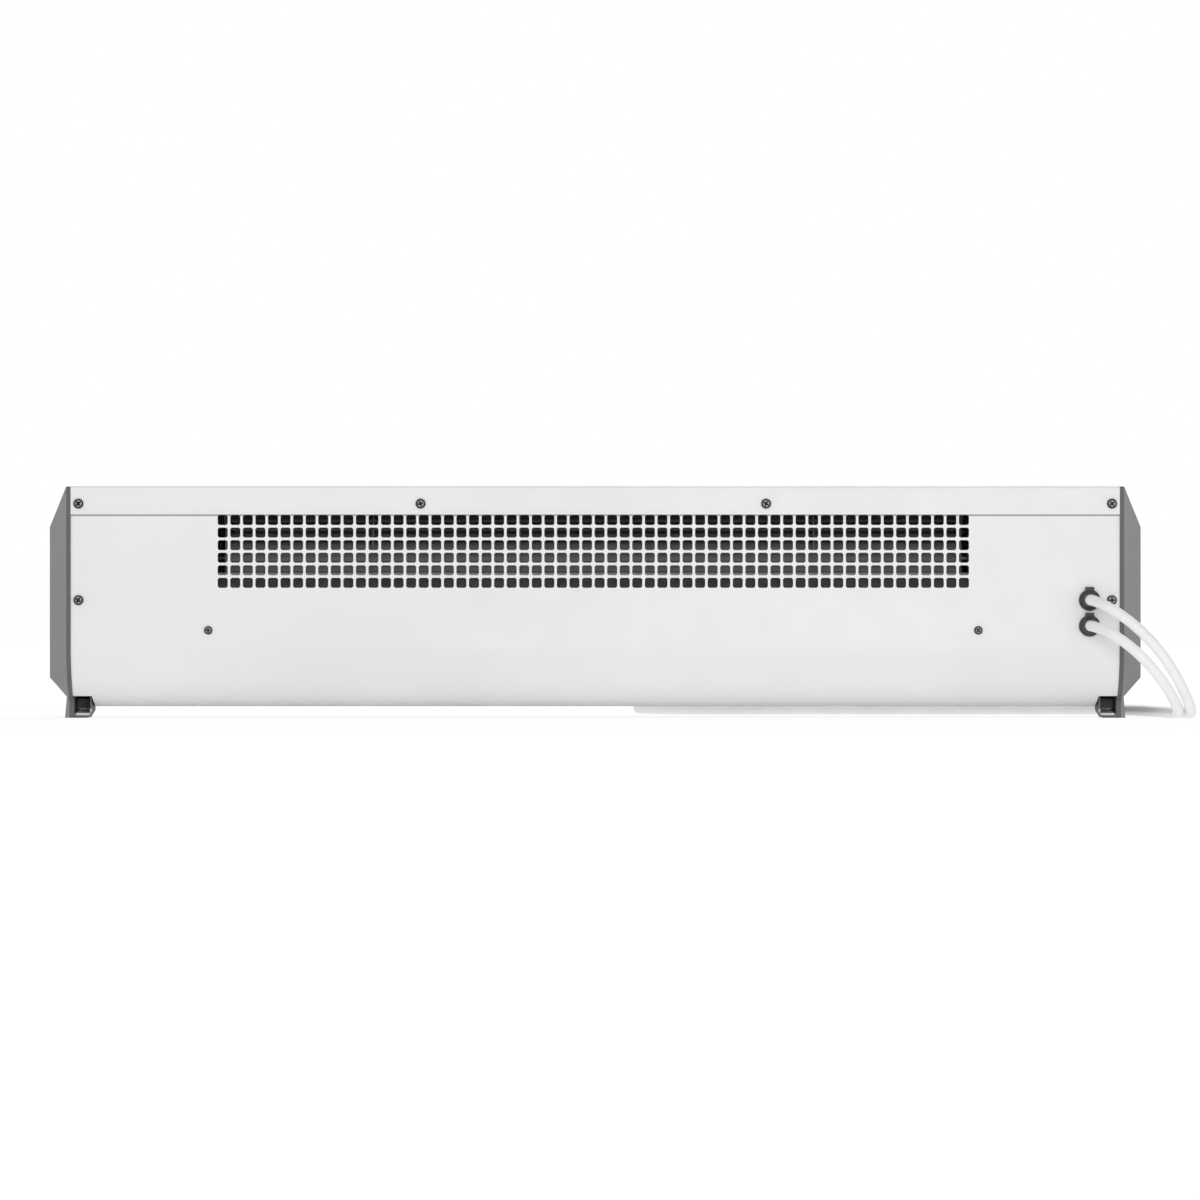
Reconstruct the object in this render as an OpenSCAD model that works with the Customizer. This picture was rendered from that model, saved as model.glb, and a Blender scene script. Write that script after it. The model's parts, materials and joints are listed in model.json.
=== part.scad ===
// Air curtain: steel casing with an intake grille, moulded end caps with feet, a cross-flow fan with its
// motor, three finned heaters, two outlet vanes, and two leads, one to a plug and one to a wall control.
// X runs along the casing, Y from the intake face to the room side, Z up from what the feet stand on.

/* [Casing] */
// Width of the steel casing between the end caps
body_w = 835; // [820:5:880]
// Depth of the casing over its top panel
body_d = 150; // [148:1:160]
// Height of the steel casing
body_h = 176; // [175:1:185]
// Gap under the casing, from its underside to what the feet stand on
foot_lift = 9; // [9:0.5:12]
// Thickness of the casing's sheet steel
sheet_t = 1; // [0.8:0.1:1.2]
// Depth of the top panel's lips, which lap over the intake face and the front
lip_h = 22.6; // [18:0.2:24]
// Outer radius of the bend under the intake face
rear_bend_r = 50; // [44:1:54]
// Outer radius of the bend under the front
front_bend_r = 24; // [20:1:25]

/* [Intake] */
// Side of each square intake hole
hole_w = 8; // [6:0.5:8.5]
// Pitch of the holes, both ways
hole_pitch = 10; // [9:0.5:10]
// Least width of the bays for the motor and the electrics, on each side of the intake
bay_w = 117.5; // [115:0.5:125]
// Number of rows of holes
hole_rows = 6; // [4:1:6]
// Middle of the intake below the casing's top
intake_drop = 52; // [50:1:54]
// Sideways shift of the intake, the fan and the outlet from the casing's middle
works_shift = -1.5; // [-3:0.5:3]

/* [End caps] */
// Width of the rim strip at the foot of each cap's slopes
cap_rim_w = 3.5; // [2.5:0.5:5]
// How far each cap swells beyond its rim
cap_swell = 15.5; // [14:0.5:22]
// Wall of the moulded caps
cap_wall = 2.5; // [2:0.1:3]
// Length of each cap's front and rear slopes, seen from the end
cap_slope_y = 28; // [22:1:32]
// Height of each cap's upper slope
cap_slope_top = 32; // [26:1:36]
// Height of each cap's lower slope
cap_slope_low = 17.4; // [14:0.2:22]

/* [Fan] */
// Radius of the cross-flow rotor
fan_r = 44; // [40:1:45]
// Fan axis below the casing's top
fan_drop = 57; // [56:1:60]
// Number of blades round the rotor
blade_count = 32; // [24:1:36]
// Number of discs that carry the blades
disc_count = 6; // [4:1:8]
// Diameter of the motor shaft and of the stub shaft
shaft_d = 8; // [6:1:10]
// Running clearance of a shaft in its bush, on the radius
bush_clear = 0.06; // [0.04:0.01:0.1]

/* [Outlet] */
// Place of the outlet's rear edge in front of the casing's middle plane
outlet_rear = -5; // [-8:1:-3]
// Chord of each air vane
vane_chord = 20; // [16:1:21]
// Thickness of each air vane
vane_t = 2.4; // [1.6:0.2:3]
// Diameter of the vane's pivot pins
vane_pin_d = 4; // [3:0.5:5]
// Outside diameter of the heaters' fins
fin_d = 20; // [16:1:21]
// Diameter of the heater tubes
heater_d = 8.5; // [6.5:0.5:9]
// Pitch of the fins along a heater
fin_pitch = 8; // [6:1:12]

/* [Leads] */
// Diameter of both leads
lead_d = 8.6; // [7:0.2:8.6]
// Place of both glands to the right of the casing's middle
gland_x = 393.5; // [391:0.5:395]
// Height of the mains lead's gland
gland_high_z = 94.2; // [92:0.2:96]
// Height of the control lead's gland
gland_low_z = 73.7; // [72:0.1:74]

/* [Hidden] */
$fn = 48;

// Faces of the casing
panel_y = body_d/2 - sheet_t;
inner_y = panel_y - sheet_t;
z_floor = foot_lift;
z_top = foot_lift + body_h;
end_x = body_w/2;
edge_gap = 0.2;
seat_gap = 0.3;
top_bend_r = 2;
return_h = 8;
outlet_front = panel_y - front_bend_r - 2;

// Frame plates inside
plate_t = 1.2;
flange_w = 12;
hole_cols = 2*floor((end_x - bay_w)/hole_pitch + 0.001);
intake_edge = 1;
bay_x = hole_cols*hole_pitch/2 + intake_edge;
left_web_x = works_shift - bay_x;
right_web_x = works_shift + bay_x;
left_bay_x = left_web_x - plate_t;
right_bay_x = right_web_x + plate_t;
side_gap = 1;
side_out_x = end_x - side_gap;
side_in_x = side_out_x - plate_t;
side_flange_w = 14;

// Feet, which are part of the end caps: each has a pocket at the rear and a low pad under the front
foot_low_out = 7;
foot_top_out = 5.5;
foot_low_in = -11;
foot_toe = -14.4;
pad_low_in = -1;
pad_toe = -5;
foot_toe_z = 5.7;
foot_roof_z = 17.4;
foot_floor_t = 3.6;
foot_floor_rise = 2.6;
foot_wall = 1.2;
foot_outer_wall = 7.4;
foot_rear_y = -45;
foot_mid_y = outlet_rear - sheet_t - 0.4;
foot_front_y = 62;
foot_back_wall = 2;
foot_back_z = 15;
notch_in = -16.4;
notch_slant = 1.4;
notch_z = foot_roof_z + 0.1;
cap_low_z = z_floor + 6;
cap_top_z = z_top - 0.3;
cap_x = end_x + cap_rim_w + cap_swell;

// Screws and their holes
screw_d = 4;
screw_head_d = 8;
screw_head_h = 2.4;
screw_len = 8;
screw_gap = 0.2;
corner_screw_x = end_x - 6.2;
lip_screw_z = z_top - 14;
lip_screw_x = 137.5;
side_screw_z = gland_high_z;
small_screw_d = 3;
small_head_d = 6.8;
small_screw_z = z_floor + 61.2;
small_screw_out = 5.5;
small_screw_x = bay_x + small_screw_out;
cap_screw_d = 3.4;
cap_screw_len = 12;
cap_boss_d = 9;
cap_boss_y = 40;
cap_boss_low_z = z_floor + 36;
cap_boss_high_z = z_top - 35;
mount_in = 51;
mount_x = bay_x - mount_in;
mount_y = 42;
mount_hole_d = 8.6;
nut_bore_d = 6.6;
nut_w = 13;
nut_h = 6.5;

// Fan, its shafts and bearings
fan_z = z_top - fan_drop;
fan_end_gap = 6;
fan_len = 2*(bay_x - fan_end_gap);
fan_x0 = works_shift - fan_len/2;
fan_x1 = works_shift + fan_len/2;
blade_chord = 9;
blade_in_r = fan_r - blade_chord;
blade_t = 0.6;
disc_t = 1.5;
end_disc_t = 3;
hub_r = 10;
hub_len = 18;
hub_fit = 0.02;
hub_hole_gap = 4;
seat_fit = 0.05;
bush_wall = 3;
bush_r = shaft_d/2 + bush_wall;
bush_len = 8;

// Motor in the left bay
stator_len = 35;
stator_half = 40;
stator_up = 30;
stator_down = 54;
leg_in = 25;
rotor_r = 15.6;
air_gap = 0.6;
ring_t = 14.4;
ring_r = rotor_r + ring_t;
limb_h = 14;
coil_wall = 9;
coil_over = 9.6;
coil_gap = 3;
coil_half = leg_in - coil_gap;
bracket_t = 3;
bracket_off = 10;
bracket_half = 7;
bracket_hub_r = 9;
pillar_len = 14;
pillar_r = 4.5;
motor_screw_y = 33;
motor_screw_d = 4;
bracket_in_x = left_bay_x - pillar_len;
stator_x1 = bracket_in_x - bracket_t - bracket_off;
stator_x0 = stator_x1 - stator_len;
bracket_out_x = stator_x0 - bracket_off - bracket_t;
coil_low_z = fan_z - stator_down - coil_wall;

// Bearing on the right fan plate
bearing_hole_r = 15;
cup_r = 22;
cup_flange_r = 29;
cup_len = 12;
cup_t = 1.2;
rubber_r = cup_r - cup_t - 0.02;
bearing_r = 10;

// Scroll and tongue round the fan
guide_t = 0.8;
scroll_start = 120;
scroll_end = -30;
scroll_gap = 4;
scroll_growth = 0.1;
scroll_lip = 10;
skirt_drop = 72;
guide_foot_gap = 2;
scroll_foot_y = outlet_front + sheet_t + 0.4;
tongue_foot_y = outlet_rear - sheet_t - 0.7;
// Points of the tongue's nose from its flange at the lowest holes, and of its ramp from the fan's axis
tongue_flange_h = 14;
tongue_nose = [[7, 6], [16, 13], [19.5, 13.2], [21.5, 10.5]];
tongue_ramp = [[-48.5, -30], [-41, -44], [-30, -58], [-18, -76], [-10, -94]];
intake_z = z_top - intake_drop;

// Heaters, guard and vanes in the outlet
heater_z = 58;
heater_pitch = 22;
heater_mid_y = scroll_foot_y - intake_edge - fin_d/2 - heater_pitch;
fin_margin = 12;
heater_end = 16;
heater_pin_len = 10;
heater_pin_d = 4;
fin_t = 1;
heater_bush_r = 7;
bush_flange_t = 2;
bush_lip = 2;
cutout_y = 26;
cutout_drop = 44;
cutout_r = 8;
cutout_h = 7;
tag_w = 6;
tag_t = 0.8;
tag_len = 8;
guard_z = 36.5;
guard_margin = 10;
guard_end = 4;
guard_rod_d = 2.5;
guard_wire_d = 2;
guard_wires = 20;
vane_z = 21.5;
vane_gap = 1.5;
vane_from_edge = 13;
vane_y = [outlet_rear + vane_from_edge, outlet_front - vane_from_edge - sheet_t];
vane_pin_end = 3;
vane_bush_r = 4;
vane_bush_flange_r = 5.5;

// Electrics in the right bay
tray_z = 32;
tray_w = 90.6;
tray_x0 = side_in_x - tray_w;
tray_y0 = -52;
tray_y1 = 50;
tray_flange_h = 24;
tray_flange_gap = 3.5;
boss_h = 8;
boss_r = 3;
boss_in = 4;
board_w = 73.6;
board_l = 60;
board_t = 1.6;
board_x1 = side_in_x - 5;
board_x0 = board_x1 - board_w;
board_y1 = tray_y1 - 6;
board_y0 = board_y1 - board_l;
board_z = tray_z + plate_t + boss_h;
relay_size = [15, 19, 15.5];
relay_pitch = 20;
plug_block = [20, 15];
loom_block = [14, 11.5];
loom_block_h = 9;
poles = 6;
pole_w = 10;
pole_d = 5;
pole_depth = 7;
terminal_w = 22;
terminal_y0 = tray_y0 + 6;
terminal_h = 20;
control_plug_z = board_z + 11;
stud_y = 30;
stud_z = tray_z + 64;
stud_len = 16;

// Glands
gland_flange_r = 8.5;
gland_flange_t = 3;
gland_body_r = 6.2;
gland_nose = 9.5;
gland_tail = 14;
gland_out_y = -panel_y - gland_nose;
lead_r = lead_d/2;

// Coils of lead behind the casing
coil_in_r = 35.6;
coil_pitch = 10.6;
coil_climb = 9.2;
coil_turns = 4.5;
coil_sides = 6;
coil_steps = 24;
coil_layer_turns = (coil_turns - 0.5)/2;
coil_out_r = coil_in_r + coil_pitch*coil_layer_turns;
floor_z = 4.4;
mains_coil_c = [310, 115 + coil_out_r];
control_coil_c = [90, 99 + coil_out_r];
plug_run = 52;
plug_len = 60;
plug_r = 19;
pin_d = 4.8;
pin_len = 19;
pin_pitch = 19;
plug_z = 19.3;
control_run = 62;
lead_sides = 10;

// Free stretch of the mains lead, from its gland to its coil
mains_route = [[gland_x, gland_out_y, gland_high_z], [gland_x, -94, gland_high_z],
    [396.2, -107.2, 93], [403, -118.8, 89.6], [412.6, -126.8, 83.5], [423.4, -131, 75.2],
    [433.6, -132.8, 65.7], [442.9, -133.2, 55.3], [451.2, -132.4, 43.9], [458.3, -129.6, 32.4],
    [464.2, -123.4, 21.8], [468.8, -113.2, 13.2], [471.6, -100, 7.5], [472.8, -85.5, 4.9],
    [472.4, -70, 4.4], [470, -53, 4.4], [466.4, -36.5, 4.4], [462, -20, 4.4], [457.6, -3.5, 4.4],
    [453.6, 13, 4.4], [449.6, 31, 4.4], [445.5, 50, 4.4], [441, 70, 4.4], [436, 88, 4.4],
    [426, 103, 4.4], [410, 112.5, 4.4], [390, 115, 4.4], [370, 115, 4.4], [350, 115, 4.4],
    [mains_coil_c[0] + lead_d, 115, floor_z]];
// Free stretch of the control lead, from its gland to its coil
control_route = [[gland_x, gland_out_y, gland_low_z], [gland_x, -93.5, gland_low_z], [396.1, -106.7, 72.8],
    [402.6, -118.2, 70], [411.8, -126.2, 64.5], [422, -130.8, 56.9], [431.8, -132.8, 47.8],
    [440.8, -132.8, 37.7], [448.6, -130.2, 27.4], [454.8, -124, 18], [459.2, -114, 10.8],
    [461.5, -101, 6.5], [462, -86, 4.6], [460.6, -70, 4.4], [457.6, -53, 4.4], [453.8, -36, 4.4],
    [449.6, -19, 4.4], [445.4, -2, 4.4], [441.6, 15, 4.4], [438, 32, 4.4], [434.2, 50, 4.4],
    [429.4, 69, 4.4], [421, 85.5, 4.4], [406, 96, 4.4], [388, 99, 4.4], [366, 99, 4.4], [344, 99, 4.4],
    [322, 99, 4.4], [300, 99, 4.4], [278, 99, 4.4], [256, 99, 4.4], [234, 99, 4.4], [212, 99, 4.4],
    [190, 99, 4.4], [168, 99, 4.4], [146, 99, 4.4], [control_coil_c[0] + lead_d, 99, floor_z]];
// Mains lead inside the casing, down to the terminal block
mains_tail_route = [[gland_x, gland_out_y, gland_high_z], [gland_x, -58, gland_high_z], [386, -46, 91],
    [374, -38, 83], [364, -35, 72], [361, -35, 62], [361, -35, tray_z + plate_t + terminal_h]];
// Control lead inside the casing, down to the relay board
control_tail_route = [[gland_x, gland_out_y, gland_low_z], [gland_x, -58, gland_low_z], [395, -44, 73],
    [397, -28, 72], [397, -14, 69], [395, -6, 64], [395, -4, 58], [395, -4, control_plug_z]];
// Loom from the motor's coil over the scroll to the relay board
loom_d = 6;
loom_end_y = 34;
loom_y = 60;
loom_z = z_top - 13;
loom_route = [[stator_x1 + 4, coil_half, 84], [stator_x1 + 4, 34, 84], [stator_x1 + 6, 46, 92],
    [stator_x1 + 8, 54, 108], [stator_x1 + 10, 59, 128], [stator_x1 + 12, loom_y, 148],
    [left_bay_x - 12, loom_y, 163], [left_bay_x - 6, loom_y, loom_z - 2], [left_bay_x - 1, loom_y, loom_z],
    [right_bay_x + 1, loom_y, loom_z], [right_bay_x + 8, loom_y, loom_z - 2], [right_bay_x + 18, loom_y, 160],
    [right_bay_x + 28, 58, 142], [right_bay_x + 36, 51, 118], [right_bay_x + 42, 41, 90],
    [right_bay_x + 44, loom_end_y, 70], [right_bay_x + 44, loom_end_y, board_z + loom_block_h]];

// Wall control at the end of the control lead
box_w = 80;
box_h = 20;
box_wall = 2.5;
cover_h = 8;
box_x0 = control_coil_c[0] + control_run;
box_cx = box_x0 + box_w/2;
box_cy = control_coil_c[1] + coil_out_r;
box_z0 = 0.1;
box_entry_z = floor_z + coil_climb;
cover_z = box_z0 + box_h;
cover_top_z = cover_z + cover_h;
rocker_w = 12.4;
rocker_l = 19;
rocker_rise = 2.6;
rocker_gap = 0.5;
rocker_tilt = 7;
rocker_pin_d = 2.4;
rocker_x = box_cx - 18;
rocker_dy = 17;
rocker_axis_z = cover_top_z - 2.5;
switch_wall = 2;
switch_h = 15;
knob_x = box_cx + 16;
knob_r = 15;
knob_h = 12;
spindle_d = 6;
pivot_gap = 0.08;
fixing_span = 60;
fixing_hole_d = 4.5;

// --- Shapes used by several pieces ---

// A square of side w with its corners cut by c, for the punched intake holes
function punched(w, c) = let (a = w/2, b = w/2 - c)
    [[a, -b], [a, b], [b, a], [-b, a], [-a, b], [-a, -b], [-b, -a], [b, -a]];

function unit(v) = v/norm(v);
function square_to(v, t) = unit(v - (v*t)*t);
function left_of(v) = [-v[1], v[0]];

// Outline of a sheet of thickness t bent along the flat path p, its second face to the left of the path
function bent_sheet(p, t) = let (n = len(p) - 1,
    d = [for (i = [0:n - 1]) left_of(unit(p[i + 1] - p[i]))],
    m = [for (i = [0:n]) let (a = d[max(i - 1, 0)], b = d[min(i, n - 1)]) (a + b)/(1 + a*b)])
    concat(p, [for (i = [n:-1:0]) p[i] + t*m[i]]);

// Directions along a path in space, and a square direction carried along it without twist
function headings(p) = let (n = len(p) - 1)
    [for (i = [0:n]) unit(p[min(i + 1, n)] - p[max(i - 1, 0)])];
function carried(t) = [for (i = 0, v = square_to([0.1, 0.2, 1], t[0]); i < len(t);
    i = i + 1, v = square_to(v, t[min(i, len(t) - 1)])) v];

// A closed tube of radius r with straight-sided rings at the points of p
module tube(p, r, sides) {
    t = headings(p);
    v = carried(t);
    n = len(p);
    rings = [for (i = [0:n - 1], k = [0:sides - 1]) let (a = 360*k/sides)
        p[i] + r*(cos(a)*v[i] + sin(a)*cross(t[i], v[i]))];
    walls = [for (i = [0:n - 2], k = [0:sides - 1]) let (a = i*sides + k, b = i*sides + (k + 1)%sides)
        each [[a, a + sides, b], [b, a + sides, b + sides]]];
    first = [for (k = [1:sides - 2]) [0, k, k + 1]];
    last = [for (k = [1:sides - 2]) let (o = (n - 1)*sides) [o, o + k + 1, o + k]];
    polyhedron(rings, concat(walls, first, last));
}

// Length of a path, and the least gap between stretches of a tube along it more than a few rings apart
function path_length(p) = let (n = len(p) - 1, s = [for (i = [0:n - 1]) norm(p[i + 1] - p[i])])
    s*[for (i = s) 1];
function least_gap(p, d) = let (n = len(p) - 1)
    min([for (i = [0:n - 9], j = [i + 9:n]) norm(p[i] - p[j])]) - d;

// A two-layer coil about c: in on the lower layer, up in the half turn where it turns back, out on the upper
function coil_radius(a) = let (layer = 360*coil_layer_turns)
    coil_in_r + coil_pitch*max(layer - a, 0, a - layer - 180)/360;
function coil_height(a) = floor_z + coil_climb*min(max(a/180 - 2*coil_layer_turns, 0), 1);
function coil_path(c, tail) = concat([[c[0] + lead_d, c[1] - coil_out_r, floor_z]],
    [for (i = [0:coil_steps*coil_turns]) let (a = 360*i/coil_steps)
        [c[0] + coil_radius(a)*cos(-90 - a), c[1] + coil_radius(a)*sin(-90 - a), coil_height(a)]], tail);

mains_coil_path = coil_path(mains_coil_c, let (c = mains_coil_c, y = c[1] + coil_out_r,
    z0 = floor_z + coil_climb, z1 = plug_z)
    [[c[0] + 10, y, z0 + 0.2*(z1 - z0)], [c[0] + 22, y, z0 + 0.6*(z1 - z0)], [c[0] + 34, y, z0 + 0.92*(z1 - z0)],
        [c[0] + plug_run - lead_d, y, z1], [c[0] + plug_run, y, z1]]);
control_coil_path = coil_path(control_coil_c, let (c = control_coil_c, y = c[1] + coil_out_r)
    [[c[0] + 20, y, box_entry_z], [c[0] + 40, y, box_entry_z], [c[0] + control_run, y, box_entry_z]]);

echo(mains_lead_m = (path_length(mains_route) + path_length(mains_coil_path))/1000,
    control_lead_m = (path_length(control_route) + path_length(control_coil_path))/1000,
    coil_gap_mm = [least_gap(mains_coil_path, lead_d), least_gap(control_coil_path, lead_d)]);

// Extrudes a (Y, Z) outline along X
module along_x(x0, x1) translate([x0, 0, 0]) rotate([90, 0, 90]) linear_extrude(x1 - x0) children();

// A rod along X, centred on y, z
module rod_x(x0, x1, y, z, r) translate([x0, y, z]) rotate([0, 90, 0]) cylinder(h = x1 - x0, r = r);

module box_at(low, high) translate(low) cube(high - low);

// What a bend of radius r cuts off a corner of the casing's outline on side s
module bend_corner(s, r, out) {
    reach = r + 4;
    difference() {
        translate([s*(panel_y - r + reach/2), z_floor + r - reach/2]) square(reach, center = true);
        translate([s*(panel_y - r), z_floor + r]) circle(r + out);
    }
}

// The casing's cross-section in (Y, Z), grown by out beyond the outer face of its panels
module section(out) {
    difference() {
        translate([-panel_y - out, z_floor - out]) square([2*(panel_y + out), z_top - z_floor + 2*out]);
        bend_corner(-1, rear_bend_r, out);
        bend_corner(1, front_bend_r, out);
    }
}

// The part of a section between two heights
module section_between(out, z0, z1) {
    intersection() {
        section(out);
        translate([-body_d, z0]) square([2*body_d, z1 - z0]);
    }
}

// Where the intake face's lower corners are notched round the feet
module foot_notches() {
    x = end_x + notch_in;
    for (s = [0, 1]) mirror([s, 0, 0]) rotate([90, 0, 0]) translate([0, 0, -body_d]) linear_extrude(2*body_d)
        polygon([[x, 0], [x, z_floor + sheet_t], [x + notch_slant, notch_z], [end_x + 1, notch_z], [end_x + 1, 0]]);
}

// A pan-head screw along +Z with its seat at z = 0 and a cross recess in its head
module pan_screw(d, head_d, head_h, length) {
    r = head_d/2;
    difference() {
        rotate_extrude() polygon(concat([[0, length], [d/2 - 0.5, length], [d/2, length - 0.6], [d/2, 0], [r, 0]],
            [for (i = [0:5]) let (a = 15*i) [r*(0.55 + 0.45*cos(a)), -head_h*(0.3 + 0.7*sin(a))]], [[0, -head_h]]));
        for (a = [45, 135]) rotate(a) translate([-0.28*head_d, -0.07*head_d, -head_h - 1])
            cube([0.56*head_d, 0.14*head_d, 1 + 0.6*head_h]);
    }
}

// --- Casing ---

module top_panel() {
    color("#EDEDEB") difference() {
        along_x(-end_x, end_x) difference() {
            translate([-body_d/2, z_top - lip_h]) square([body_d, lip_h]);
            for (s = [-1, 1]) difference() {
                translate([s*(body_d/2 - top_bend_r/2 + 1), z_top - top_bend_r/2 + 1])
                    square(top_bend_r + 2, center = true);
                translate([s*(body_d/2 - top_bend_r), z_top - top_bend_r]) circle(top_bend_r);
            }
            translate([-panel_y, z_top - lip_h - 1]) square([2*panel_y, lip_h + 1 - sheet_t]);
        }
        rear_screw_holes();
        for (x = [-mount_x, mount_x], y = [-mount_y, mount_y])
            translate([x, y, z_top - 3]) cylinder(h = 6, d = mount_hole_d);
    }
}

// Holes for every screw of the intake face, through sheets and flanges alike
module rear_screw_holes() {
    for (x = [-corner_screw_x, corner_screw_x, works_shift - lip_screw_x, works_shift + lip_screw_x])
        rear_hole(x, lip_screw_z, screw_d);
    for (x = [-corner_screw_x, corner_screw_x]) rear_hole(x, side_screw_z, screw_d);
    for (s = [-1, 1]) rear_hole(works_shift + s*small_screw_x, small_screw_z, small_screw_d);
}
module rear_hole(x, z, d)
    translate([x, -body_d/2 - 1, z]) rotate([-90, 0, 0]) cylinder(h = 8, d = d + 2*screw_gap);

module rear_panel() {
    color("#E6E6E4") difference() {
        along_x(-end_x, end_x) {
            intersection() {
                difference() {
                    section(0);
                    section(-sheet_t);
                }
                translate([-body_d, 0]) square([body_d + outlet_rear, z_top - sheet_t - edge_gap]);
            }
            translate([outlet_rear - sheet_t, z_floor]) square([sheet_t, return_h]);
        }
        foot_notches();
        rear_screw_holes();
        for (z = [gland_high_z, gland_low_z]) translate([gland_x, 0, z]) rotate([90, 0, 0])
            cylinder(h = body_d, r = gland_body_r + screw_gap);
        for (i = [0:hole_cols - 1], j = [0:hole_rows - 1])
            translate([works_shift + (i - (hole_cols - 1)/2)*hole_pitch, -inner_y + 1,
                intake_z + (j - (hole_rows - 1)/2)*hole_pitch])
                rotate([90, 0, 0]) linear_extrude(sheet_t + 2) polygon(punched(hole_w, 1.2));
    }
}

module front_panel() {
    color("#E6E6E4") along_x(-end_x, end_x) {
        intersection() {
            difference() {
                section(0);
                section(-sheet_t);
            }
            translate([outlet_front, 0]) square([body_d, z_top - sheet_t - edge_gap]);
        }
        translate([outlet_front, z_floor]) square([sheet_t, return_h]);
    }
}

// The two plates that close the casing's underside beside the outlet
module bay_floors() {
    color("#E6E6E4") {
        bay_floor(-end_x, left_web_x);
        bay_floor(right_web_x, end_x);
    }
}
module bay_floor(x0, x1) box_at([x0, outlet_rear + edge_gap, z_floor],
    [x1, outlet_front - edge_gap, z_floor + sheet_t]);

// A galvanised plate across the casing, with flanges on the side s that lie on the panels
module cross_plate(x, s, width, z0) {
    x0 = min(x, x + s*plate_t);
    f0 = min(x, x + s*width);
    f1 = max(x, x + s*width);
    along_x(x0, x0 + plate_t) section_between(-sheet_t - seat_gap, z0, z_top - sheet_t);
    flange_z = z_floor + rear_bend_r + 2;
    box_at([f0, -inner_y, flange_z], [f1, -inner_y + plate_t, z_top - sheet_t]);
    box_at([f0, inner_y - plate_t, flange_z], [f1, inner_y, z_top - sheet_t]);
    box_at([f0, -inner_y, z_top - sheet_t - plate_t], [f1, inner_y, z_top - sheet_t]);
}

module side_plate_left() side_plate(-1);
module side_plate_right() side_plate(1);
module side_plate(s) {
    color("#B9BDC0") difference() {
        cross_plate(s*side_out_x, -s, plate_t + side_flange_w, foot_roof_z + 0.6);
        rear_screw_holes();
        for (y = [-cap_boss_y, cap_boss_y], z = [cap_boss_low_z, cap_boss_high_z])
            rod_x(s*side_out_x - 5, s*side_out_x + 5, y, z, cap_screw_d/2 + screw_gap);
    }
}

// --- End caps, with their feet ---

module end_cap_left() mirror([1, 0, 0]) end_cap();
module end_cap_right() end_cap();

module cap_rim(inset, x0, x1) along_x(x0, x1) section_between(sheet_t - inset, cap_low_z + inset, cap_top_z - inset);
module cap_face(inset, x0, x1) {
    half = body_d/2 - cap_slope_y - inset;
    box_at([x0, -half, cap_low_z + cap_slope_low + inset], [x1, half, cap_top_z - cap_slope_top - inset]);
}
// Extrudes an (X, Z) outline along Y
module along_y(y0, y1) translate([0, y1, 0]) rotate([90, 0, 0]) linear_extrude(y1 - y0) children();
// The pocket foot's outline, and the pad's, which has a wall that stands outside the casing
module foot_outline(x) {
    polygon([[x + foot_low_out, 0], [x + foot_low_in, 0], [x + foot_toe, foot_toe_z], [x + foot_toe, foot_roof_z],
        [x + foot_top_out, foot_roof_z]]);
}
module pad_outline(x) {
    polygon([[x + foot_low_out, 0], [x + pad_low_in, 0], [x + pad_toe, foot_toe_z],
        [x + pad_toe, z_floor - seat_gap], [x + edge_gap, z_floor - seat_gap], [x + edge_gap, foot_roof_z],
        [x + foot_top_out, foot_roof_z]]);
}
// The foot's pocket, open to the rear and the top, whose floor rises towards its back
module foot_pocket(x) {
    y0 = foot_rear_y - 1;
    y1 = foot_mid_y - foot_back_wall;
    along_x(x + foot_toe + foot_wall, x + foot_low_out - foot_outer_wall)
        polygon([[y0, foot_floor_t], [y1, foot_floor_t + foot_floor_rise], [y1, foot_back_z],
            [foot_mid_y + 1, foot_back_z], [foot_mid_y + 1, foot_roof_z + 1], [y0, foot_roof_z + 1]]);
}
module end_cap() {
    x = end_x;
    color("#8A8B8C") difference() {
        union() {
            difference() {
                hull() {
                    cap_rim(0, x, x + cap_rim_w, $fn = 32);
                    cap_face(0, cap_x - 0.2, cap_x);
                }
                hull() {
                    cap_rim(cap_wall, x - 1, x + cap_rim_w - 0.6, $fn = 32);
                    cap_face(cap_wall, cap_x - cap_wall - 0.2, cap_x - cap_wall);
                }
            }
            along_y(foot_rear_y, foot_mid_y) foot_outline(x);
            along_y(foot_mid_y - 1, foot_front_y) pad_outline(x);
            for (y = [-cap_boss_y, cap_boss_y], z = [cap_boss_low_z, cap_boss_high_z])
                rod_x(side_out_x, cap_x - cap_wall/2, y, z, cap_boss_d/2);
        }
        foot_pocket(x);
        for (y = [-cap_boss_y, cap_boss_y], z = [cap_boss_low_z, cap_boss_high_z])
            rod_x(side_out_x - 1, side_in_x + cap_screw_len + 1, y, z, cap_screw_d/2 + 0.05);
    }
}

// --- Air works ---

module fan_plate_left() {
    color("#B9BDC0") difference() {
        cross_plate(left_web_x, -1, plate_t + flange_w, z_floor + sheet_t);
        plate_holes(left_web_x);
        rod_x(left_web_x - 5, left_web_x + 5, 0, fan_z, hub_r + hub_hole_gap);
        for (y = [-motor_screw_y, motor_screw_y])
            rod_x(left_web_x - 5, left_web_x + 5, y, fan_z, motor_screw_d/2 + screw_gap);
    }
    color("#B9BDC0") bay_flange(left_bay_x - flange_w, left_web_x - plate_t/2);
}
module fan_plate_right() {
    color("#B9BDC0") difference() {
        cross_plate(right_web_x, 1, plate_t + flange_w, z_floor + sheet_t);
        plate_holes(right_web_x);
        rod_x(right_web_x - 5, right_web_x + 5, 0, fan_z, bearing_hole_r);
    }
    color("#B9BDC0") bay_flange(right_web_x + plate_t/2, right_bay_x + flange_w);
}
// The flange on which a bay floor is welded
module bay_flange(x0, x1) box_at([x0, outlet_rear + 0.5, z_floor + sheet_t],
    [x1, outlet_front - 0.5, z_floor + sheet_t + plate_t]);

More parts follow.
